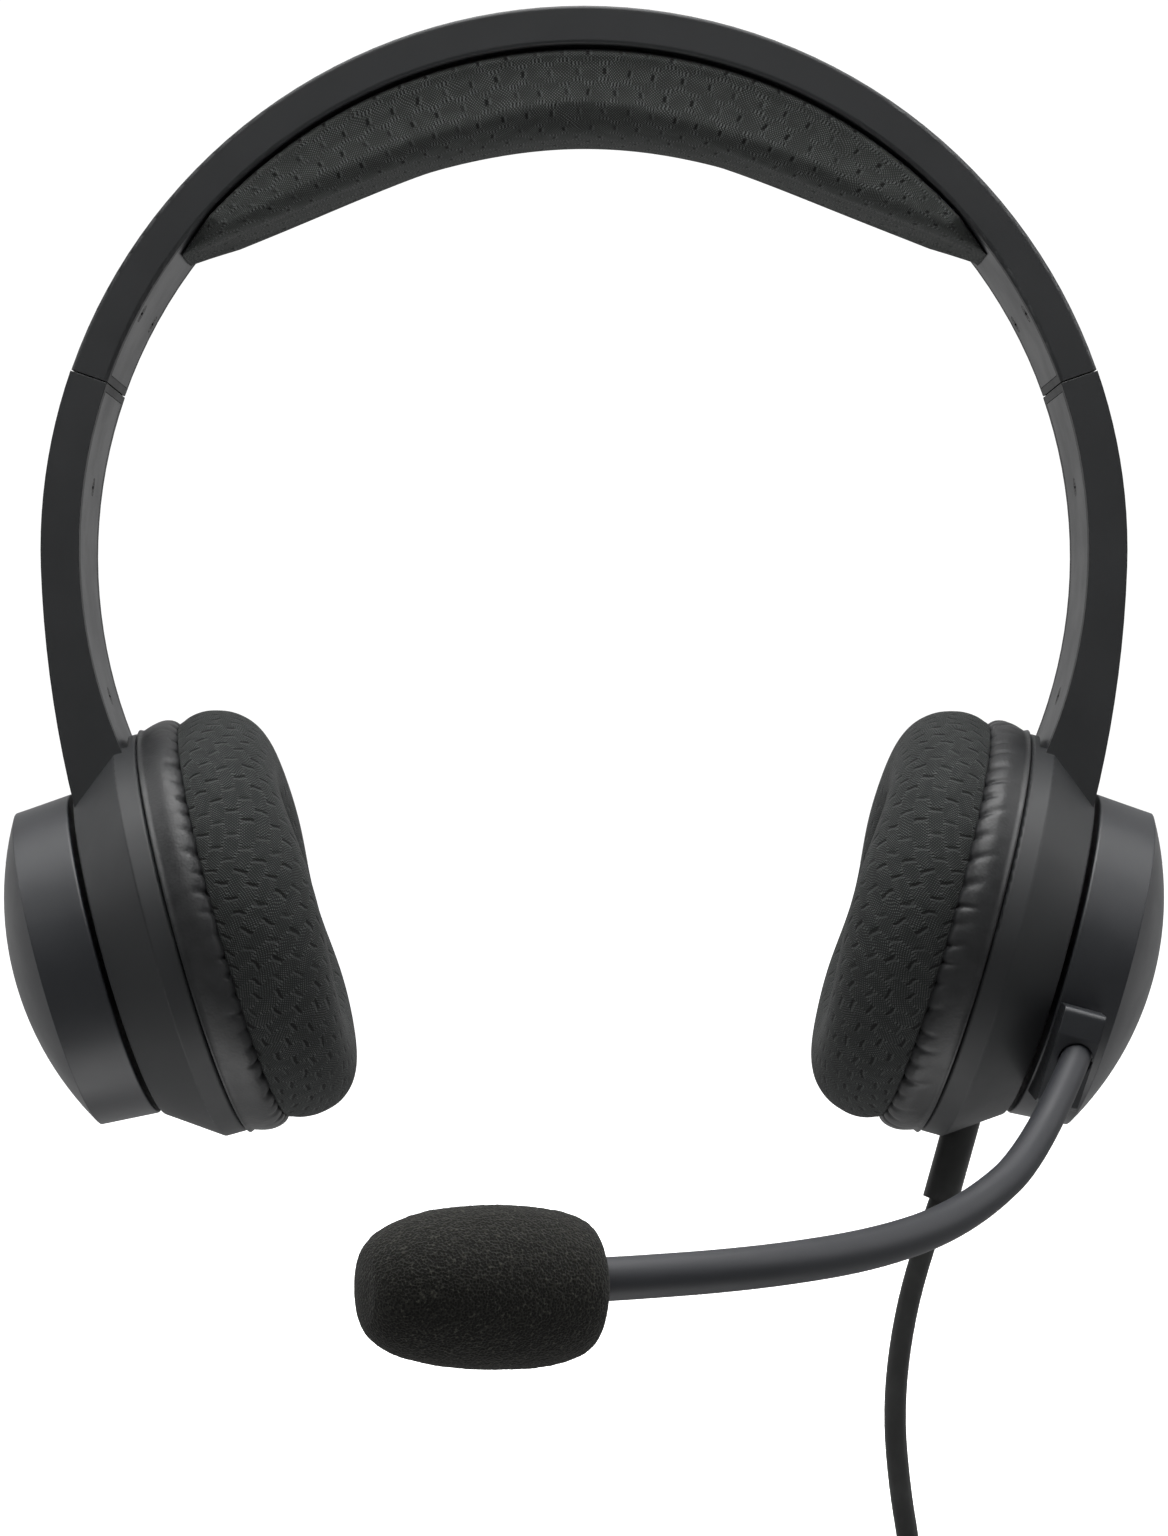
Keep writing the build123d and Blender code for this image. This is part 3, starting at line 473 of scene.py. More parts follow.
def lofted(name, rings, cloth):
    """Mesh through rings of points that close on themselves.

    cloth holds a place on the flat cloth for each point of each ring and one more where the ring
    closes. It has one row more than there are rings where the last ring meets the first.
    Otherwise both ends are closed with a face.
    """
    made = bmesh.new()
    weave = made.loops.layers.uv.new("weave")
    grid = [[made.verts.new(point) for point in ring] for ring in rings]
    for i in range(len(cloth) - 1):
        here, there = grid[i], grid[(i + 1) % len(grid)]
        for j in range(len(here)):
            k = (j + 1) % len(here)
            face = made.faces.new((here[j], there[j], there[k], here[k]))
            corners = cloth[i][j], cloth[i + 1][j], cloth[i + 1][j + 1], cloth[i][j + 1]
            for loop, place in zip(face.loops, corners):
                loop[weave].uv = place
    if len(cloth) == len(rings):
        made.faces.new(grid[0])
        made.faces.new(grid[-1][::-1])
    for face in made.faces:
        face.smooth = True
    bmesh.ops.recalc_face_normals(made, faces=made.faces)
    mesh = bpy.data.meshes.new(name)
    made.to_mesh(mesh)
    made.free()
    return mesh


def curve_samples(points, count):
    """Evenly numbered points on a smooth closed outline through the given ones."""
    made = []
    spans = len(points)
    for index in range(count):
        position = index * spans / count
        i = int(position)
        t = position - i
        a, b, c, d = (Vector(points[(i + step) % spans]) for step in (-1, 0, 1, 2))
        made.append(0.5 * ((2 * b) + (c - a) * t + (2 * a - 5 * b + 4 * c - d) * t ** 2
                           + (3 * b - a - 3 * c + d) * t ** 3))
    return made


def running_length(points):
    """Distance along a closed outline at each of its points, and back at the first."""
    total = [0.0]
    for here, there in zip(points, points[1:] + points[:1]):
        total.append(total[-1] + (there - here).length)
    return total


def puffed(piece, pinned, pressure, most):
    """Fills a cover with air, holding the pinned points and moving none further than most."""
    group = piece.vertex_groups.new(name="held")
    group.add(pinned, 1.0, "REPLACE")
    before = [vertex.co.copy() for vertex in piece.data.vertices]
    cloth = piece.modifiers.new("Cloth", "CLOTH")
    cloth.settings.quality = 6
    cloth.settings.mass = 0.02
    cloth.settings.tension_stiffness = 20
    cloth.settings.compression_stiffness = 20
    cloth.settings.bending_stiffness = 0.4
    cloth.settings.use_pressure = True
    cloth.settings.uniform_pressure_force = pressure
    cloth.settings.vertex_group_mass = "held"
    cloth.settings.effector_weights.gravity = 0.0
    cloth.collision_settings.use_collision = False
    scene = bpy.context.scene
    for step in range(1, 21):
        scene.frame_set(step)
    evaluated = piece.evaluated_get(bpy.context.evaluated_depsgraph_get())
    after = [vertex.co.copy() for vertex in evaluated.data.vertices]
    piece.modifiers.remove(cloth)
    scene.frame_set(1)
    for vertex, old, new in zip(piece.data.vertices, before, after):
        move = new - old
        vertex.co = old + (move.normalized() * min(most, move.length) if move.length else move)
    piece.vertex_groups.remove(group)


# ------------------------------------------------------------------ cable
def coil_slots(diameter):
    """Places of the turns in the bundle, outwards and backwards, in the order they are wound."""
    rows = (
        (2, (0, 1)), (1, (1.5, 0.5, -0.5, -1.5)), (0, (-1, 0, 1, 2)), (-1, (1.5, 0.5)),
        (-2, (0, -1)), (-1, (-0.5, -1.5)))
    pitch = TURN_PITCH * diameter
    return [(row * sqrt(0.75) * pitch, step * pitch) for row, steps in rows for step in steps]


def coil_point(angle, slot):
    """Point of the coil's steering line at an angle, in one of its places."""
    out, back = slot
    radius = (COIL_R + out) / cos(pi / TURN_STEPS)
    return COIL_CENTRE + Vector((radius * cos(angle), back, radius * sin(angle)))


def coil_points(diameter):
    """The coil's turns. The cord moves to its next place a little earlier on each turn."""
    slots = coil_slots(diameter)
    angle = ENTRY_ANGLE
    points = []
    for slot, after in zip(slots, slots[1:] + slots[-1:]):
        between = tuple((a + b) / 2 for a, b in zip(slot, after))
        for step in range(TURN_POINTS):
            place = between if step == TURN_POINTS - 1 else slot
            points.append(coil_point(angle, place))
            angle += tau / TURN_STEPS
    while angle % tau > EXIT_ANGLE or angle % tau < radians(20):
        points.append(coil_point(angle, slots[-1]))
        angle += tau / TURN_STEPS
    while angle % tau < EXIT_ANGLE:
        points.append(coil_point(angle, slots[-1]))
        angle += tau / TURN_STEPS
    return points


def nurbs(name, points, radius, material, widths=None):
    """Round tube along a smooth line that the points control."""
    line = bpy.data.curves.new(name, "CURVE")
    line.dimensions = "3D"
    line.bevel_depth = radius
    line.bevel_resolution = 4
    line.resolution_u = 5
    line.use_fill_caps = True
    spline = line.splines.new("NURBS")
    spline.points.add(len(points) - 1)
    for index, point in enumerate(points):
        spline.points[index].co = (*point, 1.0)
        spline.points[index].radius = widths[index] if widths else 1.0
    spline.order_u = 3
    spline.use_endpoint_u = True
    line.materials.append(material)
    piece = bpy.data.objects.new(name, line)
    bpy.context.scene.collection.objects.link(piece)
    return piece


def relief_end():
    """Middle of the strain relief's free face, where the cable leaves it."""
    mesh = frame["nodes"]["strain_relief"].data
    lowest = min(vertex.co.z for vertex in mesh.vertices)
    start = Vector(CORD_ROUTE[0])
    near = sorted(mesh.vertices, key=lambda vertex: (vertex.co - start).length)[:24]
    reach = (near[0].co - start).length
    face = [vertex.co for vertex in mesh.vertices if (vertex.co - start).length < reach + 5.5 * MM
            and vertex.co.z < lowest + 1.6 * MM]
    return sum(face, Vector()) / len(face)


class HEADSET_OT_cable(bpy.types.Operator):
    """Cable from the left cup to its plug, with the spare length wound in a tied coil"""
    bl_idname = "headset.cable"
    bl_label = "Cable"

    def execute(self, context):
        sizes, colours = context.scene.headset_sizes, context.scene.headset_colours
        jacket = rubber_finish("cable_jacket", colours.rubber, 0.42, 0.52)
        start = relief_end()
        points = [start, *CORD_ROUTE, *coil_points(sizes.cord_diameter), *TAIL_ROUTE]
        cable = nurbs("cable", points, sizes.cord_diameter / 2, jacket)
        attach(cable, "left_slider")
        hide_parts("cord", "cord_coil", "cord_tail")
        tie = coil_tie(colours)
        boot = plug_boot(colours)
        return {"FINISHED"}


TIE_ANGLE = radians(66)
TIE_GAP = 1.2 * MM        # between the strap's box and its inner radius
TIE_WALL = 1.0 * MM
BOOT_RIBS = 5


def coil_tie(colours):
    """Strap round the coil, beside the place where the cable joins it."""
    low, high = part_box("cord_tie")
    angle = TIE_ANGLE
    centre = COIL_CENTRE + COIL_R * Vector((cos(angle), 0, sin(angle)))
    none_selected()
    bpy.ops.mesh.primitive_cylinder_add(
        vertices=64, radius=0.5 * (high.y - low.y) + TIE_GAP, depth=high.x - low.x,
        end_fill_type="NOTHING", location=centre, rotation=(0, pi - angle, 0))
    tie = bpy.context.object
    tie.name = "coil_tie"
    bpy.ops.object.transform_apply(location=True, rotation=True, scale=True)
    bpy.ops.object.mode_set(mode="EDIT")
    bpy.ops.mesh.select_all(action="SELECT")
    bpy.ops.mesh.subdivide(number_cuts=6)
    bpy.ops.object.mode_set(mode="OBJECT")
    applied(tie, "SOLIDIFY", thickness=TIE_WALL, offset=1.0)
    applied(tie, "BEVEL", width=0.25 * MM, segments=2, limit_method="ANGLE")
    tie.data.materials.append(rubber_finish("tie_rubber", colours.rubber, 0.5, 0.6))
    only(tie)
    bpy.ops.object.shade_smooth_by_angle(angle=radians(35))
    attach(tie, "left_slider")
    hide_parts("cord_tie")
    return tie


def plug_boot(colours):
    """Tapered, ribbed boot between the cable and the plug."""
    low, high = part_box("plug_boot")
    centre = (low + high) / 2
    radius = 0.5 * (high.x - low.x)
    depth = high.z - low.z
    none_selected()
    bpy.ops.mesh.primitive_circle_add(
        vertices=48, radius=radius, fill_type="NGON", location=(centre.x, centre.y, low.z))
    boot = bpy.context.object
    boot.name = "ribbed_plug_boot"
    bpy.ops.object.transform_apply(location=True, rotation=True, scale=True)
    bpy.ops.object.mode_set(mode="EDIT")
    bpy.ops.mesh.select_all(action="SELECT")
    rise = depth / (2 * BOOT_RIBS)
    for rib in range(BOOT_RIBS):
        # a band, then a groove, each a little smaller than the one below
        for lift, scale in ((rise * 1.2, 0.975), (0.0, 0.86), (rise * 0.8, 0.985), (0.0, 1.13)):
            if rib == BOOT_RIBS - 1 and scale > 1:
                continue
            bpy.ops.mesh.extrude_region_move(TRANSFORM_OT_translate={"value": (0, 0, lift)})
            bpy.ops.transform.resize(
                value=(scale, scale, 1.0), center_override=(centre.x, centre.y, low.z))
    bpy.ops.mesh.select_all(action="SELECT")
    bpy.ops.mesh.remove_doubles(threshold=1e-6)
    bpy.ops.mesh.normals_make_consistent(inside=False)
    bpy.ops.object.mode_set(mode="OBJECT")
    applied(boot, "BEVEL", width=0.12 * MM, segments=2, limit_method="ANGLE")
    boot.data.materials.append(rubber_finish("plug_rubber", colours.rubber, 0.45, 0.55))
    only(boot)
    bpy.ops.object.shade_smooth_by_angle(angle=radians(40))
    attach(boot, "left_slider")
    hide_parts("plug_boot")
    return boot


# ------------------------------------------------------------------ ear cushions
# Sections in millimetres: radius from the cup's axis and distance from the cushion's seat
SKIRT_SECTION = [
    (31.5, 0.1), (31.8, 0.9), (32.3, 2.5), (32.45, 4.0), (32.1, 5.4), (31.3, 6.3), (30.2, 6.5),
    (27.0, 6.2), (22.0, 5.9), (18.6, 5.4), (18.1, 3.0), (18.8, 0.6), (25.0, 0.1)]
COVER_SECTION = [
    (30.4, 6.2), (31.5, 7.2), (32.1, 9.2), (32.05, 11.6), (31.0, 14.6), (28.6, 17.2), (25.2, 18.7),
    (21.2, 19.0), (17.4, 18.3), (14.3, 16.4), (12.7, 13.6), (12.9, 10.4), (14.6, 7.8), (18.0, 6.6),
    (24.0, 6.4)]
SEAM_DEPTH = 6.3          # where the cover meets the skirt
SKIRT_R = 31.5
SKIRT_RUNS = {"left": (0.5, 1.0), "right": (0.15, 0.5)}   # shortest and longest gathers
# Directions of the cloth on a cup: along the rows and along the slits
SLIT_TILT = radians(38)
CLOTH_ALONG = Vector((cos(SLIT_TILT), sin(SLIT_TILT)))
CLOTH_ACROSS = Vector((-sin(SLIT_TILT), cos(SLIT_TILT)))


def gathers(rng, circumference, pitch, runs):
    """Creases round the seam: middle and width as shares of the circle, depth, run and lean."""
    creases = []
    place = 0.0
    while place < circumference:
        width = pitch * rng.uniform(0.6, 1.4)
        creases.append((place + width / 2, width, rng.uniform(0.3, 1.0), rng.uniform(*runs),
                        rng.uniform(0.4, 1.1)))
        place += width
    return [(middle / place, width / place, *others) for middle, width, *others in creases]


def crease_at(creases, angle, rise):
    """Depth of the creases at an angle; rise is 1 at the seam and 0 at the flat edge."""
    turn = angle / tau
    total = 0.0
    for middle, width, depth, run, lean in creases:
        off = (turn - middle - 0.8 * lean * width * (1 - rise) + 0.5) % 1.0 - 0.5
        if abs(off) < width:
            fade = max(0.0, (rise - (1 - run)) / run)
            total += depth * fade ** 1.2 * exp(-(off / (0.17 * width)) ** 2)
    return total


def ring_surface(name, section, side, stations, samples, cells, shape):
    """Ring about a cup's axis. shape(angle, radius, depth) gives the moved radius and depth.

    The cloth lies flat over the ring's crown and is wrapped down both sides of it, so its slits
    all point the same way. cells are the pitch and column of its slits in millimetres.
    """
    place = cup_place(side)
    outline = curve_samples([Vector((r, u, 0)) for r, u in section], samples)
    runs = running_length(outline)
    crown = max(range(samples), key=lambda index: outline[index].y)
    rings, cloth = [], []
    for station in range(stations + 1):
        angle = tau * station / stations
        ring, flat = [], []
        for point in outline:
            radius, depth = shape(angle, point.x, point.y)
            ring.append(place @ (MM * Vector((radius * cos(angle), radius * sin(angle), depth))))
        for run in runs:
            reach = outline[crown].x + runs[crown] - run
            lying = Vector((reach * cos(angle), reach * sin(angle)))
            flat.append((lying.dot(CLOTH_ALONG) / cells[0], lying.dot(CLOTH_ACROSS) / cells[1]))
        rings.append(ring)
        cloth.append(flat)
    return lofted(name, rings[:-1], cloth)


class HEADSET_OT_ear_cushions(bpy.types.Operator):
    """Ear cushions: a gathered leatherette skirt and a knitted cover on each cup"""
    bl_idname = "headset.ear_cushions"
    bl_label = "Ear cushions"

    def execute(self, context):
        sizes, colours = context.scene.headset_sizes, context.scene.headset_colours
        leather = leather_finish(colours)
        knitted = fabric_finish("ear_knit", colours.fabric, colours.thread, sizes.slit_pitch,
                                sizes.slit_column, 0.97, 0.8)
        for seed, (side, runs) in enumerate(SKIRT_RUNS.items()):
            rng = random.Random(41 + seed)
            creases = gathers(rng, tau * SKIRT_R, sizes.gather_pitch / MM, runs)
            skirt = ear_skirt(side, creases, sizes, leather)
            cover = ear_cover(side, sizes, knitted, rng.uniform(0, 10))
            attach(skirt, f"{side}_slider")
            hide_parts(f"cushion_skirt_{side}")
            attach(cover, f"{side}_slider")
            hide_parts(f"cushion_mesh_{side}", f"cushion_foam_{side}")
        return {"FINISHED"}


def ear_skirt(side, creases, sizes, material):
    """Leatherette side of an ear cushion, flat at the housing and gathered at its seam."""
    deepest = sizes.gather_depth / MM

    def shape(angle, radius, depth):
        if radius < 28:
            return radius, depth
        rise = min(1.0, max(0.0, (depth - 1.0) / (SEAM_DEPTH - 1.0)))
        fall = deepest * crease_at(creases, angle, rise)
        slack = 0.14 * noise.noise(Vector((7 * cos(angle), 7 * sin(angle), depth / 3))) * rise
        return radius - fall + slack, depth - 0.8 * fall * rise
    cells = sizes.slit_pitch / MM, sizes.slit_column / MM
    mesh = ring_surface(f"ear_skirt_{side}", SKIRT_SECTION, side, 960, 40, cells, shape)
    return as_piece(f"ear_skirt_{side}", mesh, material)


def ear_cover(side, sizes, material, seed):
    """Knitted cover of an ear cushion: thicker in front than behind, so that it meets the head."""
    def shape(angle, radius, depth):
        swell = 0.35 * noise.noise(Vector((1.3 * cos(angle), 1.3 * sin(angle), depth / 9 + seed)))
        wedge = -0.11 * sin(angle) ** 10 if angle < pi else 0.14 * sin(angle) ** 4
        return radius + swell, SEAM_DEPTH + (depth - SEAM_DEPTH) * (1 + wedge) + 0.5 * swell
    cells = sizes.slit_pitch / MM, sizes.slit_column / MM
    mesh = ring_surface(f"ear_cover_{side}", COVER_SECTION, side, 240, 60, cells, shape)
    piece = as_piece(f"ear_cover_{side}", mesh, material)
    place = cup_place(side).inverted()
    held = [v.index for v in mesh.vertices if (place @ v.co).z < SEAM_DEPTH * MM + 0.7 * MM]
    puffed(piece, held, 4.0, 0.6 * MM)
    applied(piece, "SUBSURF", levels=1, render_levels=1)
    return piece


# ------------------------------------------------------------------ headband cushion
BAND_PAD_R = 76.0 * MM    # against the liner
BAND_PAD_T = 13.0 * MM
BAND_PAD_W = 24.4 * MM
BAND_PAD_END = radians(36.3)
SEAM_SHARE = 0.42         # of the thickness, above the widest line
CROWN_SHARE = 0.58        # and below it


def band_pad_outline(thickness, samples):
    """Section of the cushion, as inward depth and sideways place.

    It is flat on the liner and crowned below.
    """
    points = []
    for index in range(samples):
        angle = tau * index / samples
        side, down = cos(angle), sin(angle)
        # the square side lies on the liner
        squareness, below = ((3.2, 3.4), CROWN_SHARE) if down > 0 else ((7, 7), SEAM_SHARE)
        x = abs(side) ** (2 / squareness[0]) * (1 if side > 0 else -1)
        y = abs(down) ** (2 / squareness[1]) * (1 if down > 0 else -1)
        depth = thickness * (SEAM_SHARE + below * y)
        points.append((depth, BAND_PAD_W / 2 * x))
    return points


class HEADSET_OT_headband_cushion(bpy.types.Operator):
    """Knitted cushion under the headband"""
    bl_idname = "headset.headband_cushion"
    bl_label = "Headband cushion"

    def execute(self, context):
        sizes, colours = context.scene.headset_sizes, context.scene.headset_colours
        knitted = fabric_finish("pad_knit", colours.pad, 1.5 * Vector(colours.thread),
                                sizes.pad_pitch, sizes.pad_column, 0.36, 1.0)
        stations, samples = 280, 64
        rings = []
        for station in range(stations + 1):
            share = station / stations
            # stations close up towards the rounded ends
            share = 0.5 - 0.5 * cos(pi * share)
            angle = BAND_PAD_END + (pi - 2 * BAND_PAD_END) * share
            from_end = min(share, 1 - share) * 2
            thickness = BAND_PAD_T * max(0.015, 1 - (1 - from_end) ** 4)
            narrow = min(1.0, 0.55 + 0.45 * (from_end / 0.10)) if from_end < 0.10 else 1.0
            outward_ray = Vector((cos(angle), 0, sin(angle)))
            swell = 0.25 * MM * noise.noise(Vector((angle * 2.1, 0.3, 0.0)))
            ring = []
            for depth, sideways in band_pad_outline(thickness, samples):
                radius = BAND_PAD_R - depth - (swell if depth > 0.5 * thickness else 0.0)
                point = BAND_CENTRE + outward_ray * radius
                ring.append(point + Vector((0, sideways * narrow, 0)))
            rings.append(ring)
        middle = [Vector(p) for p in rings[stations // 2]]
        across = [distance / sizes.pad_column for distance in running_length(middle)]
        arc = (pi - 2 * BAND_PAD_END) * (BAND_PAD_R - 0.5 * BAND_PAD_T) / sizes.pad_pitch
        cloth = [[(arc * (0.5 - 0.5 * cos(pi * station / stations)), place) for place in across]
                 for station in range(stations + 1)]
        mesh = lofted("headband_pad", rings, cloth)
        pad = as_piece("headband_pad", mesh, knitted)
        held = [v.index for v in mesh.vertices
                if (v.co - Vector((0, v.co.y, 0)) - BAND_CENTRE).length > BAND_PAD_R - 1.2 * MM]
        puffed(pad, held, 4.0, 0.6 * MM)
        applied(pad, "SUBSURF", levels=1, render_levels=1)
        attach(pad, "headband")
        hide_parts("headband_cushion")
        return {"FINISHED"}


# ------------------------------------------------------------------ microphone
class HEADSET_OT_windscreen(bpy.types.Operator):
    """Open-cell foam over the microphone"""
    bl_idname = "headset.windscreen"
    bl_label = "Windscreen"

    def execute(self, context):
        sizes, colours = context.scene.headset_sizes, context.scene.headset_colours
        material = foam_finish(colours, sizes)
        side = FOAM_DIRECTION.cross(Vector((0, 0, 1))).normalized()
        up = side.cross(FOAM_DIRECTION)
        outline = foam_outline(sizes.foam_radius, sizes.foam_length, 190)
        around = 260
        rings = []
        for distance, reach in outline:
            ring = []
            for step in range(around):
                angle = tau * step / around
                out = side * cos(angle) + up * sin(angle)
                point = FOAM_START + FOAM_DIRECTION * distance + out * reach
                ring.append(pitted(point, out, sizes.foam_cell, sizes.foam_radius))
            rings.append(ring)
        flat = [[(step / around, index / len(outline)) for step in range(around + 1)]
                for index in range(len(outline))]
        foam = as_piece("foam_windscreen", lofted("foam_windscreen", rings, flat), material)
        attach(foam, "boom")
        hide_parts("windscreen")
        return {"FINISHED"}


FOAM_WIDEST = 0.43        # share of its length
FOAM_REAR = 0.5           # flat end's radius, as a share of the widest


def foam_outline(radius, full, count):
    """Half outline of the foam, a barrel with a flat rear, as distance along it and reach."""
    points = []
    for index in range(count + 1):
        share = 0.5 - 0.5 * cos(pi * index / count)
        if share < FOAM_WIDEST:
            swell = (1 - ((FOAM_WIDEST - share) / FOAM_WIDEST) ** 2) ** 0.15
            swell = max(swell, FOAM_REAR)
        else:
            past = (share - FOAM_WIDEST) / (1 - FOAM_WIDEST)
            swell = max(0.03, 1 - past ** 2) ** 0.28
            swell *= min(1.0, 0.05 + sqrt((1 - share) / 0.02))
        points.append((full * share, radius * swell))
    return [(0.0, 0.03 * radius)] + points


def pitted(point, out, cell, radius):
    """Moves a point of the foam in at its pores and out at their walls."""
    pores = noise.voronoi(point / (1.15 * cell))[0]
    pit = min(1.0, pores[0]) - 0.45
    lumps = noise.noise(point / (3.2 * cell))
    big = noise.noise(point / (9 * MM))
    return point + out * (0.30 * cell * pit + 0.18 * cell * lumps + 0.02 * radius * big)


class HEADSET_OT_boom(bpy.types.Operator):
    """Tapered skin of the boom over its flexible root, along one fixed line from the block to the
    foam
    """
    bl_idname = "headset.boom"
    bl_label = "Boom"

    def execute(self, context):
        sizes, colours = context.scene.headset_sizes, context.scene.headset_colours
        skin = moulded("boom_skin", colours.boom, 0.52, 0.60, 0.3 * MM)
        points = [Vector(point) for point in BOOM_ROUTE]
        points.append(points[-1] + FOAM_DIRECTION * 2.0 * MM)
        ends = sizes.boom_root / 2, sizes.boom_tip / 2
        widths = []
        for index in range(len(points)):
            share = min(1.0, index / 3)
            widths.append((ends[0] + (ends[1] - ends[0]) * share) / ends[1])
        boom = nurbs("boom_skin", points, ends[1], skin, widths)
        boom.data.resolution_u = 24
        boom.data.bevel_resolution = 8
        only(boom)
        bpy.ops.object.convert(target="MESH")
        bpy.ops.object.shade_smooth_by_angle(angle=radians(40))
        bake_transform(boom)
        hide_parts("boom_root", "boom_sleeve")
        return {"FINISHED"}


# ------------------------------------------------------------------ finishes of the frame
class HEADSET_OT_frame_finishes(bpy.types.Operator):
    """Finishes of the shells, covers, screws and inner pieces"""
    bl_idname = "headset.frame_finishes"
    bl_label = "Frame finishes"

    def execute(self, context):
        colours = context.scene.headset_colours
        finishes = {
            shell_finish(colours): ("headband_shell", "arm_housing"),
            satin_finish(colours): (
                "headband_liner", "arm_cover", "outer_cap", "cap_base", "boom_socket", "baffle"),
            moulded("inner_plastic", (0.03, 0.03, 0.03), 0.45, 0.55, 0.3 * MM): (
                "slider_guide", "hub_retainer", "friction_washer", "capsule_holder", "driver_frame",
                "plug_insulators"),
            rubber_finish("relief_rubber", colours.rubber, 0.36, 0.46): (
                "strain_relief", "plug_body"),
            rubber_finish("wire_insulation", (0.02, 0.02, 0.02), 0.4, 0.5): (
                "crossover_wire", "boom_core", "cord", "cord_coil", "cord_tail", "cord_tie"),
            cloth_finish(colours): ("speaker_cloth",),
            metal_finish("spring_steel", (0.45, 0.45, 0.46), 0.3, 1.5 * MM): (
                "slider_strip", "spring_band", "detent_leaf"),
            metal_finish("black_screw", (0.06, 0.06, 0.06), 0.4, 0.8 * MM): (
                "liner_screws", "arm_screws", "cap_screws"),
            metal_finish("plated_magnet", (0.35, 0.35, 0.36), 0.25, 1.5 * MM): (
                "driver_magnet", "mic_capsule"),
            metal_finish("plug_gold", (0.78, 0.60, 0.30), 0.18, 0.8 * MM): ("plug_pin",),
            film_finish(): ("driver_diaphragm",),
            board_finish(): ("junction_board",),
            rubber_finish("soft_core", (0.06, 0.06, 0.06), 0.8, 0.9): (
                "cushion_foam", "cushion_skirt", "cushion_mesh", "headband_cushion", "windscreen",
                "boom_root", "boom_sleeve", "plug_boot"),
        }
        for material, stems in finishes.items():
            for stem in stems:
                named = [n for n in (stem, f"{stem}_left", f"{stem}_right") if n in frame["nodes"]]
                if not named:
                    raise RuntimeError(f"no piece of the frame is called {stem}")
                for name in named:
                    coat(frame["nodes"][name], material)
        return {"FINISHED"}


def coat(node, material):
    """Puts a material in every slot of one of the frame's pieces."""
    if not node.material_slots:
        node.data.materials.append(material)
    for slot in node.material_slots:
        slot.link = "OBJECT"
        slot.material = material


# ------------------------------------------------------------------ stage
FLOOR_GAP = 4 * MM        # below the lowest piece
CAMERA_DISTANCE = 0.640
CAMERA_HEIGHT = -0.0961
CAMERA_LENS = 97.5
AIM = Vector((0, 0, -0.1))     # middle of the headset
FLOOR_R = 7.9
DOME_R = 8.0
# Name, place, width and height, and power of each soft light
LIGHTS = (
    ("top_light", (0, -0.05, 0.95), (1.1, 0.9), 21.0),
    ("left_light", (-1.15, 0.0, 0.5), (0.6, 0.9), 4.8),
    ("right_light", (1.15, 0.0, 0.5), (0.6, 0.9), 4.8),
    ("front_light", (0, -1.15, 1.2), (1.3, 0.7), 13.0),
    ("low_light", (0, -0.1, -0.95), (1.2, 0.6), 4.4),
)


class HEADSET_OT_stage(bpy.types.Operator):
    """Camera, pale floor, white surroundings and soft lights"""
    bl_idname = "headset.stage"
    bl_label = "Stage"

    def execute(self, context):
        scene = context.scene
        scene.view_settings.view_transform = "Standard"
        camera = bpy.data.objects.new("camera", bpy.data.cameras.new("camera"))
        scene.collection.objects.link(camera)
        camera.location = (0, -CAMERA_DISTANCE, CAMERA_HEIGHT)
        camera.rotation_euler = (pi / 2, 0, 0)
        camera.data.lens = CAMERA_LENS
        scene.camera = camera
        surroundings()
        world_light(scene)
        for light in LIGHTS:
            softbox(*light)
        return {"FINISHED"}


def surroundings():
    """Floor and a white dome, which are only there to be seen behind the headset."""
    low = CAD_BOX[0].z - FLOOR_GAP
    none_selected()
    bpy.ops.mesh.primitive_circle_add(
        vertices=96, radius=FLOOR_R, fill_type="NGON", location=(0, 0, low))
    floor = bpy.context.object
    floor.name = "floor"
    bpy.ops.object.transform_apply(location=True, rotation=True, scale=True)
    pale = Finish("pale_floor", (0.92, 0.92, 0.92), 0.8)
    pale.set(pale.shader, {"Emission Color": (1, 1, 1, 1), "Emission Strength": 0.95})
    pale.bump(pale.noise(4 * MM), 0.02 * MM, 0.1)
    floor.data.materials.append(pale.material)
    unlit(floor)
    none_selected()
    bpy.ops.mesh.primitive_uv_sphere_add(segments=64, ring_count=32, radius=DOME_R)
    dome = bpy.context.object
    dome.name = "dome"
    white = Finish("white_dome", (0, 0, 0), 1.0)
    white.set(white.shader, {"Emission Color": (1, 1, 1, 1), "Emission Strength": 1.05})
    dome.data.materials.append(white.material)
    unlit(dome)


def unlit(piece):
    """Keeps a bright piece of the stage from lighting the headset or shading it."""
    piece.visible_diffuse = False
    piece.visible_glossy = False
    piece.visible_transmission = False
    piece.visible_shadow = False


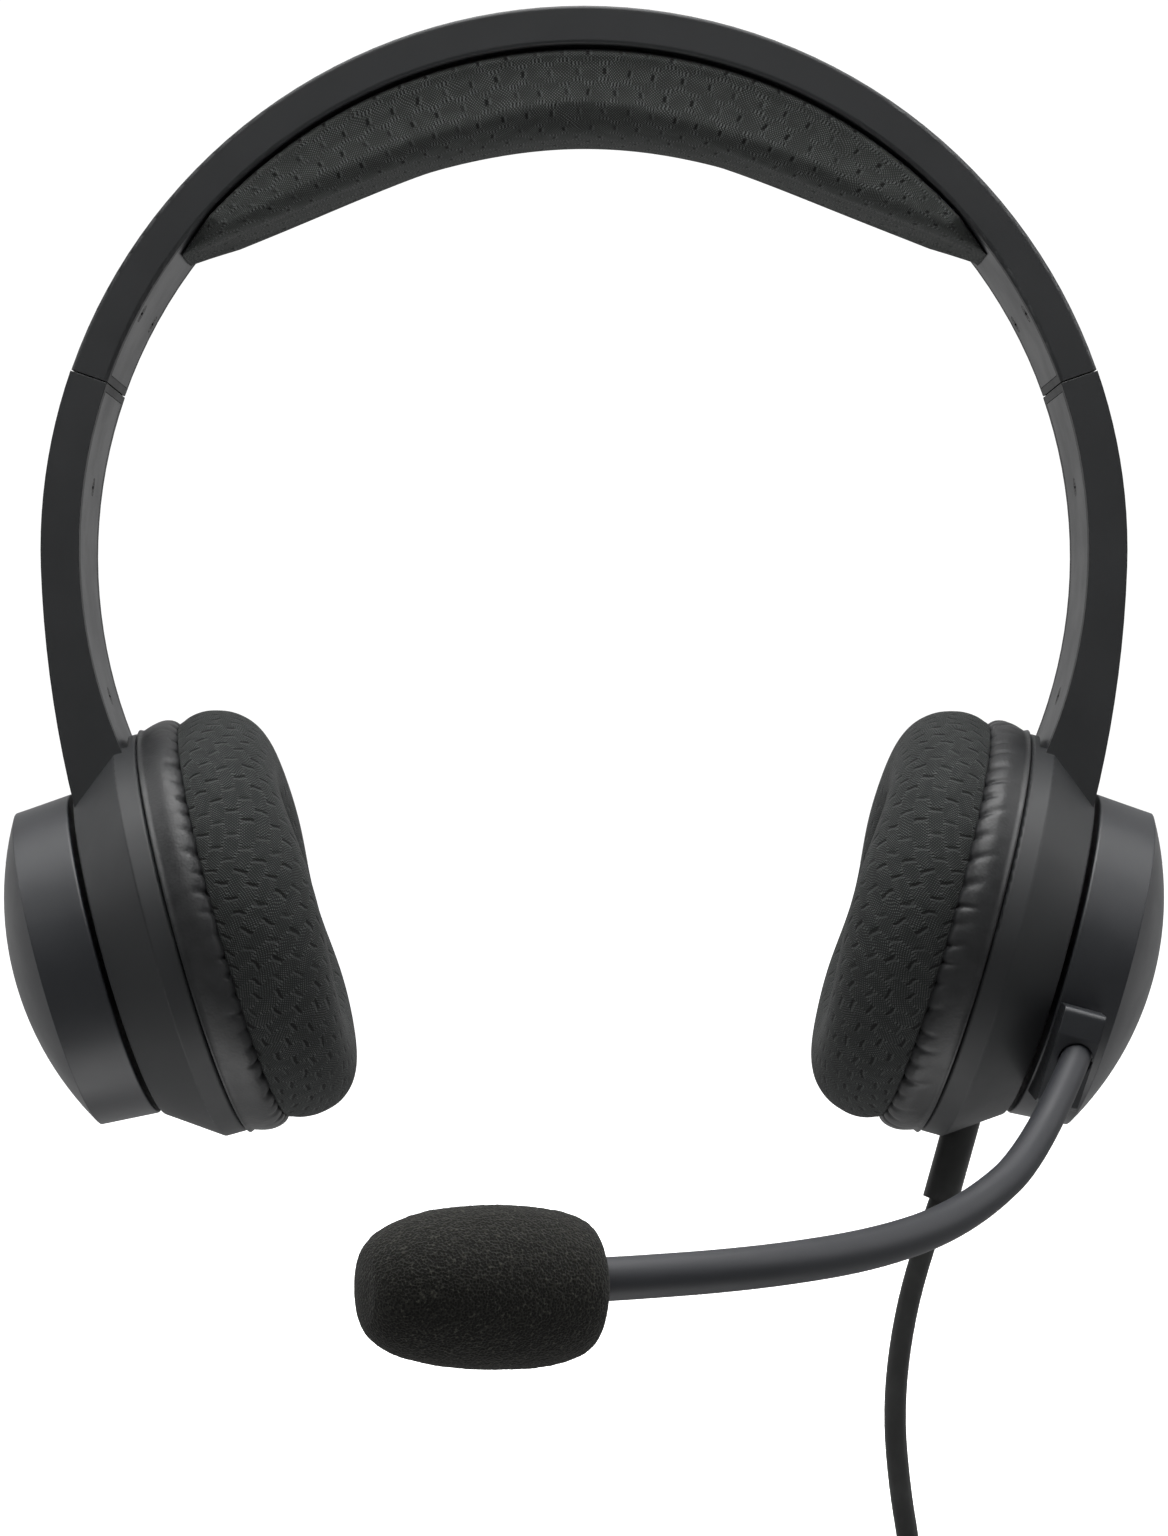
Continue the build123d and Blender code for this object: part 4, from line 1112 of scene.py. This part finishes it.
def world_light(scene):
    """Sky of the studio: bright behind and above the headset, dim in front of it."""
    world = scene.world or bpy.data.worlds.new("studio")
    scene.world = world
    world.use_nodes = True
    tree = world.node_tree
    coords = tree.nodes.new("ShaderNodeTexCoord")
    split = tree.nodes.new("ShaderNodeSeparateXYZ")
    tree.links.new(coords.outputs["Generated"], split.inputs[0])
    ranged = tree.nodes.new("ShaderNodeMapRange")
    tree.links.new(split.outputs["Y"], ranged.inputs["Value"])
    for name, value in (("From Min", -0.25), ("From Max", 0.8), ("To Min", 0.16), ("To Max", 0.5)):
        ranged.inputs[name].default_value = value
    tree.links.new(ranged.outputs[0], tree.nodes["Background"].inputs["Strength"])
    tree.nodes["Background"].inputs["Color"].default_value = (1, 1, 1, 1)


def softbox(name, place, size, power):
    """Rectangular light that faces the middle of the headset."""
    lamp = bpy.data.lights.new(name, "AREA")
    lamp.shape = "RECTANGLE"
    lamp.size, lamp.size_y = size
    lamp.energy = power
    box = bpy.data.objects.new(name, lamp)
    bpy.context.scene.collection.objects.link(box)
    box.location = place
    box.rotation_euler = (AIM - Vector(place)).to_track_quat("-Z", "Y").to_euler()
    box.visible_camera = False


# ------------------------------------------------------------------ add-on
class HEADSET_PT_panel(bpy.types.Panel):
    """Sidebar panel that lists the headset's sizes, colours and pieces"""
    bl_idname = "HEADSET_PT_panel"
    bl_label = "Headset"
    bl_space_type = "VIEW_3D"
    bl_region_type = "UI"
    bl_category = "Headset"

    def draw(self, context):
        for group in (context.scene.headset_sizes, context.scene.headset_colours):
            box = self.layout.box()
            for name in group.__annotations__:
                box.prop(group, name)
        for operator in OPERATORS:
            self.layout.operator(operator.bl_idname)


OPERATORS = (
    HEADSET_OT_stage, HEADSET_OT_cable, HEADSET_OT_ear_cushions, HEADSET_OT_headband_cushion,
    HEADSET_OT_boom, HEADSET_OT_windscreen, HEADSET_OT_frame_finishes)
CLASSES = (HeadsetSizes, HeadsetColours, *OPERATORS, HEADSET_PT_panel)


def register():
    """Makes the classes known and gives each scene its sizes and colours."""
    for item in CLASSES:
        bpy.utils.register_class(item)
    bpy.types.Scene.headset_sizes = PointerProperty(type=HeadsetSizes)
    bpy.types.Scene.headset_colours = PointerProperty(type=HeadsetColours)


def unregister():
    """Takes away what register gave."""
    del bpy.types.Scene.headset_colours
    del bpy.types.Scene.headset_sizes
    for item in reversed(CLASSES):
        bpy.utils.unregister_class(item)


def main():
    """Builds every piece in order."""
    register()
    for operator in OPERATORS:
        group, name = operator.bl_idname.split(".")
        getattr(getattr(bpy.ops, group), name)()


if __name__ == "__main__":
    main()
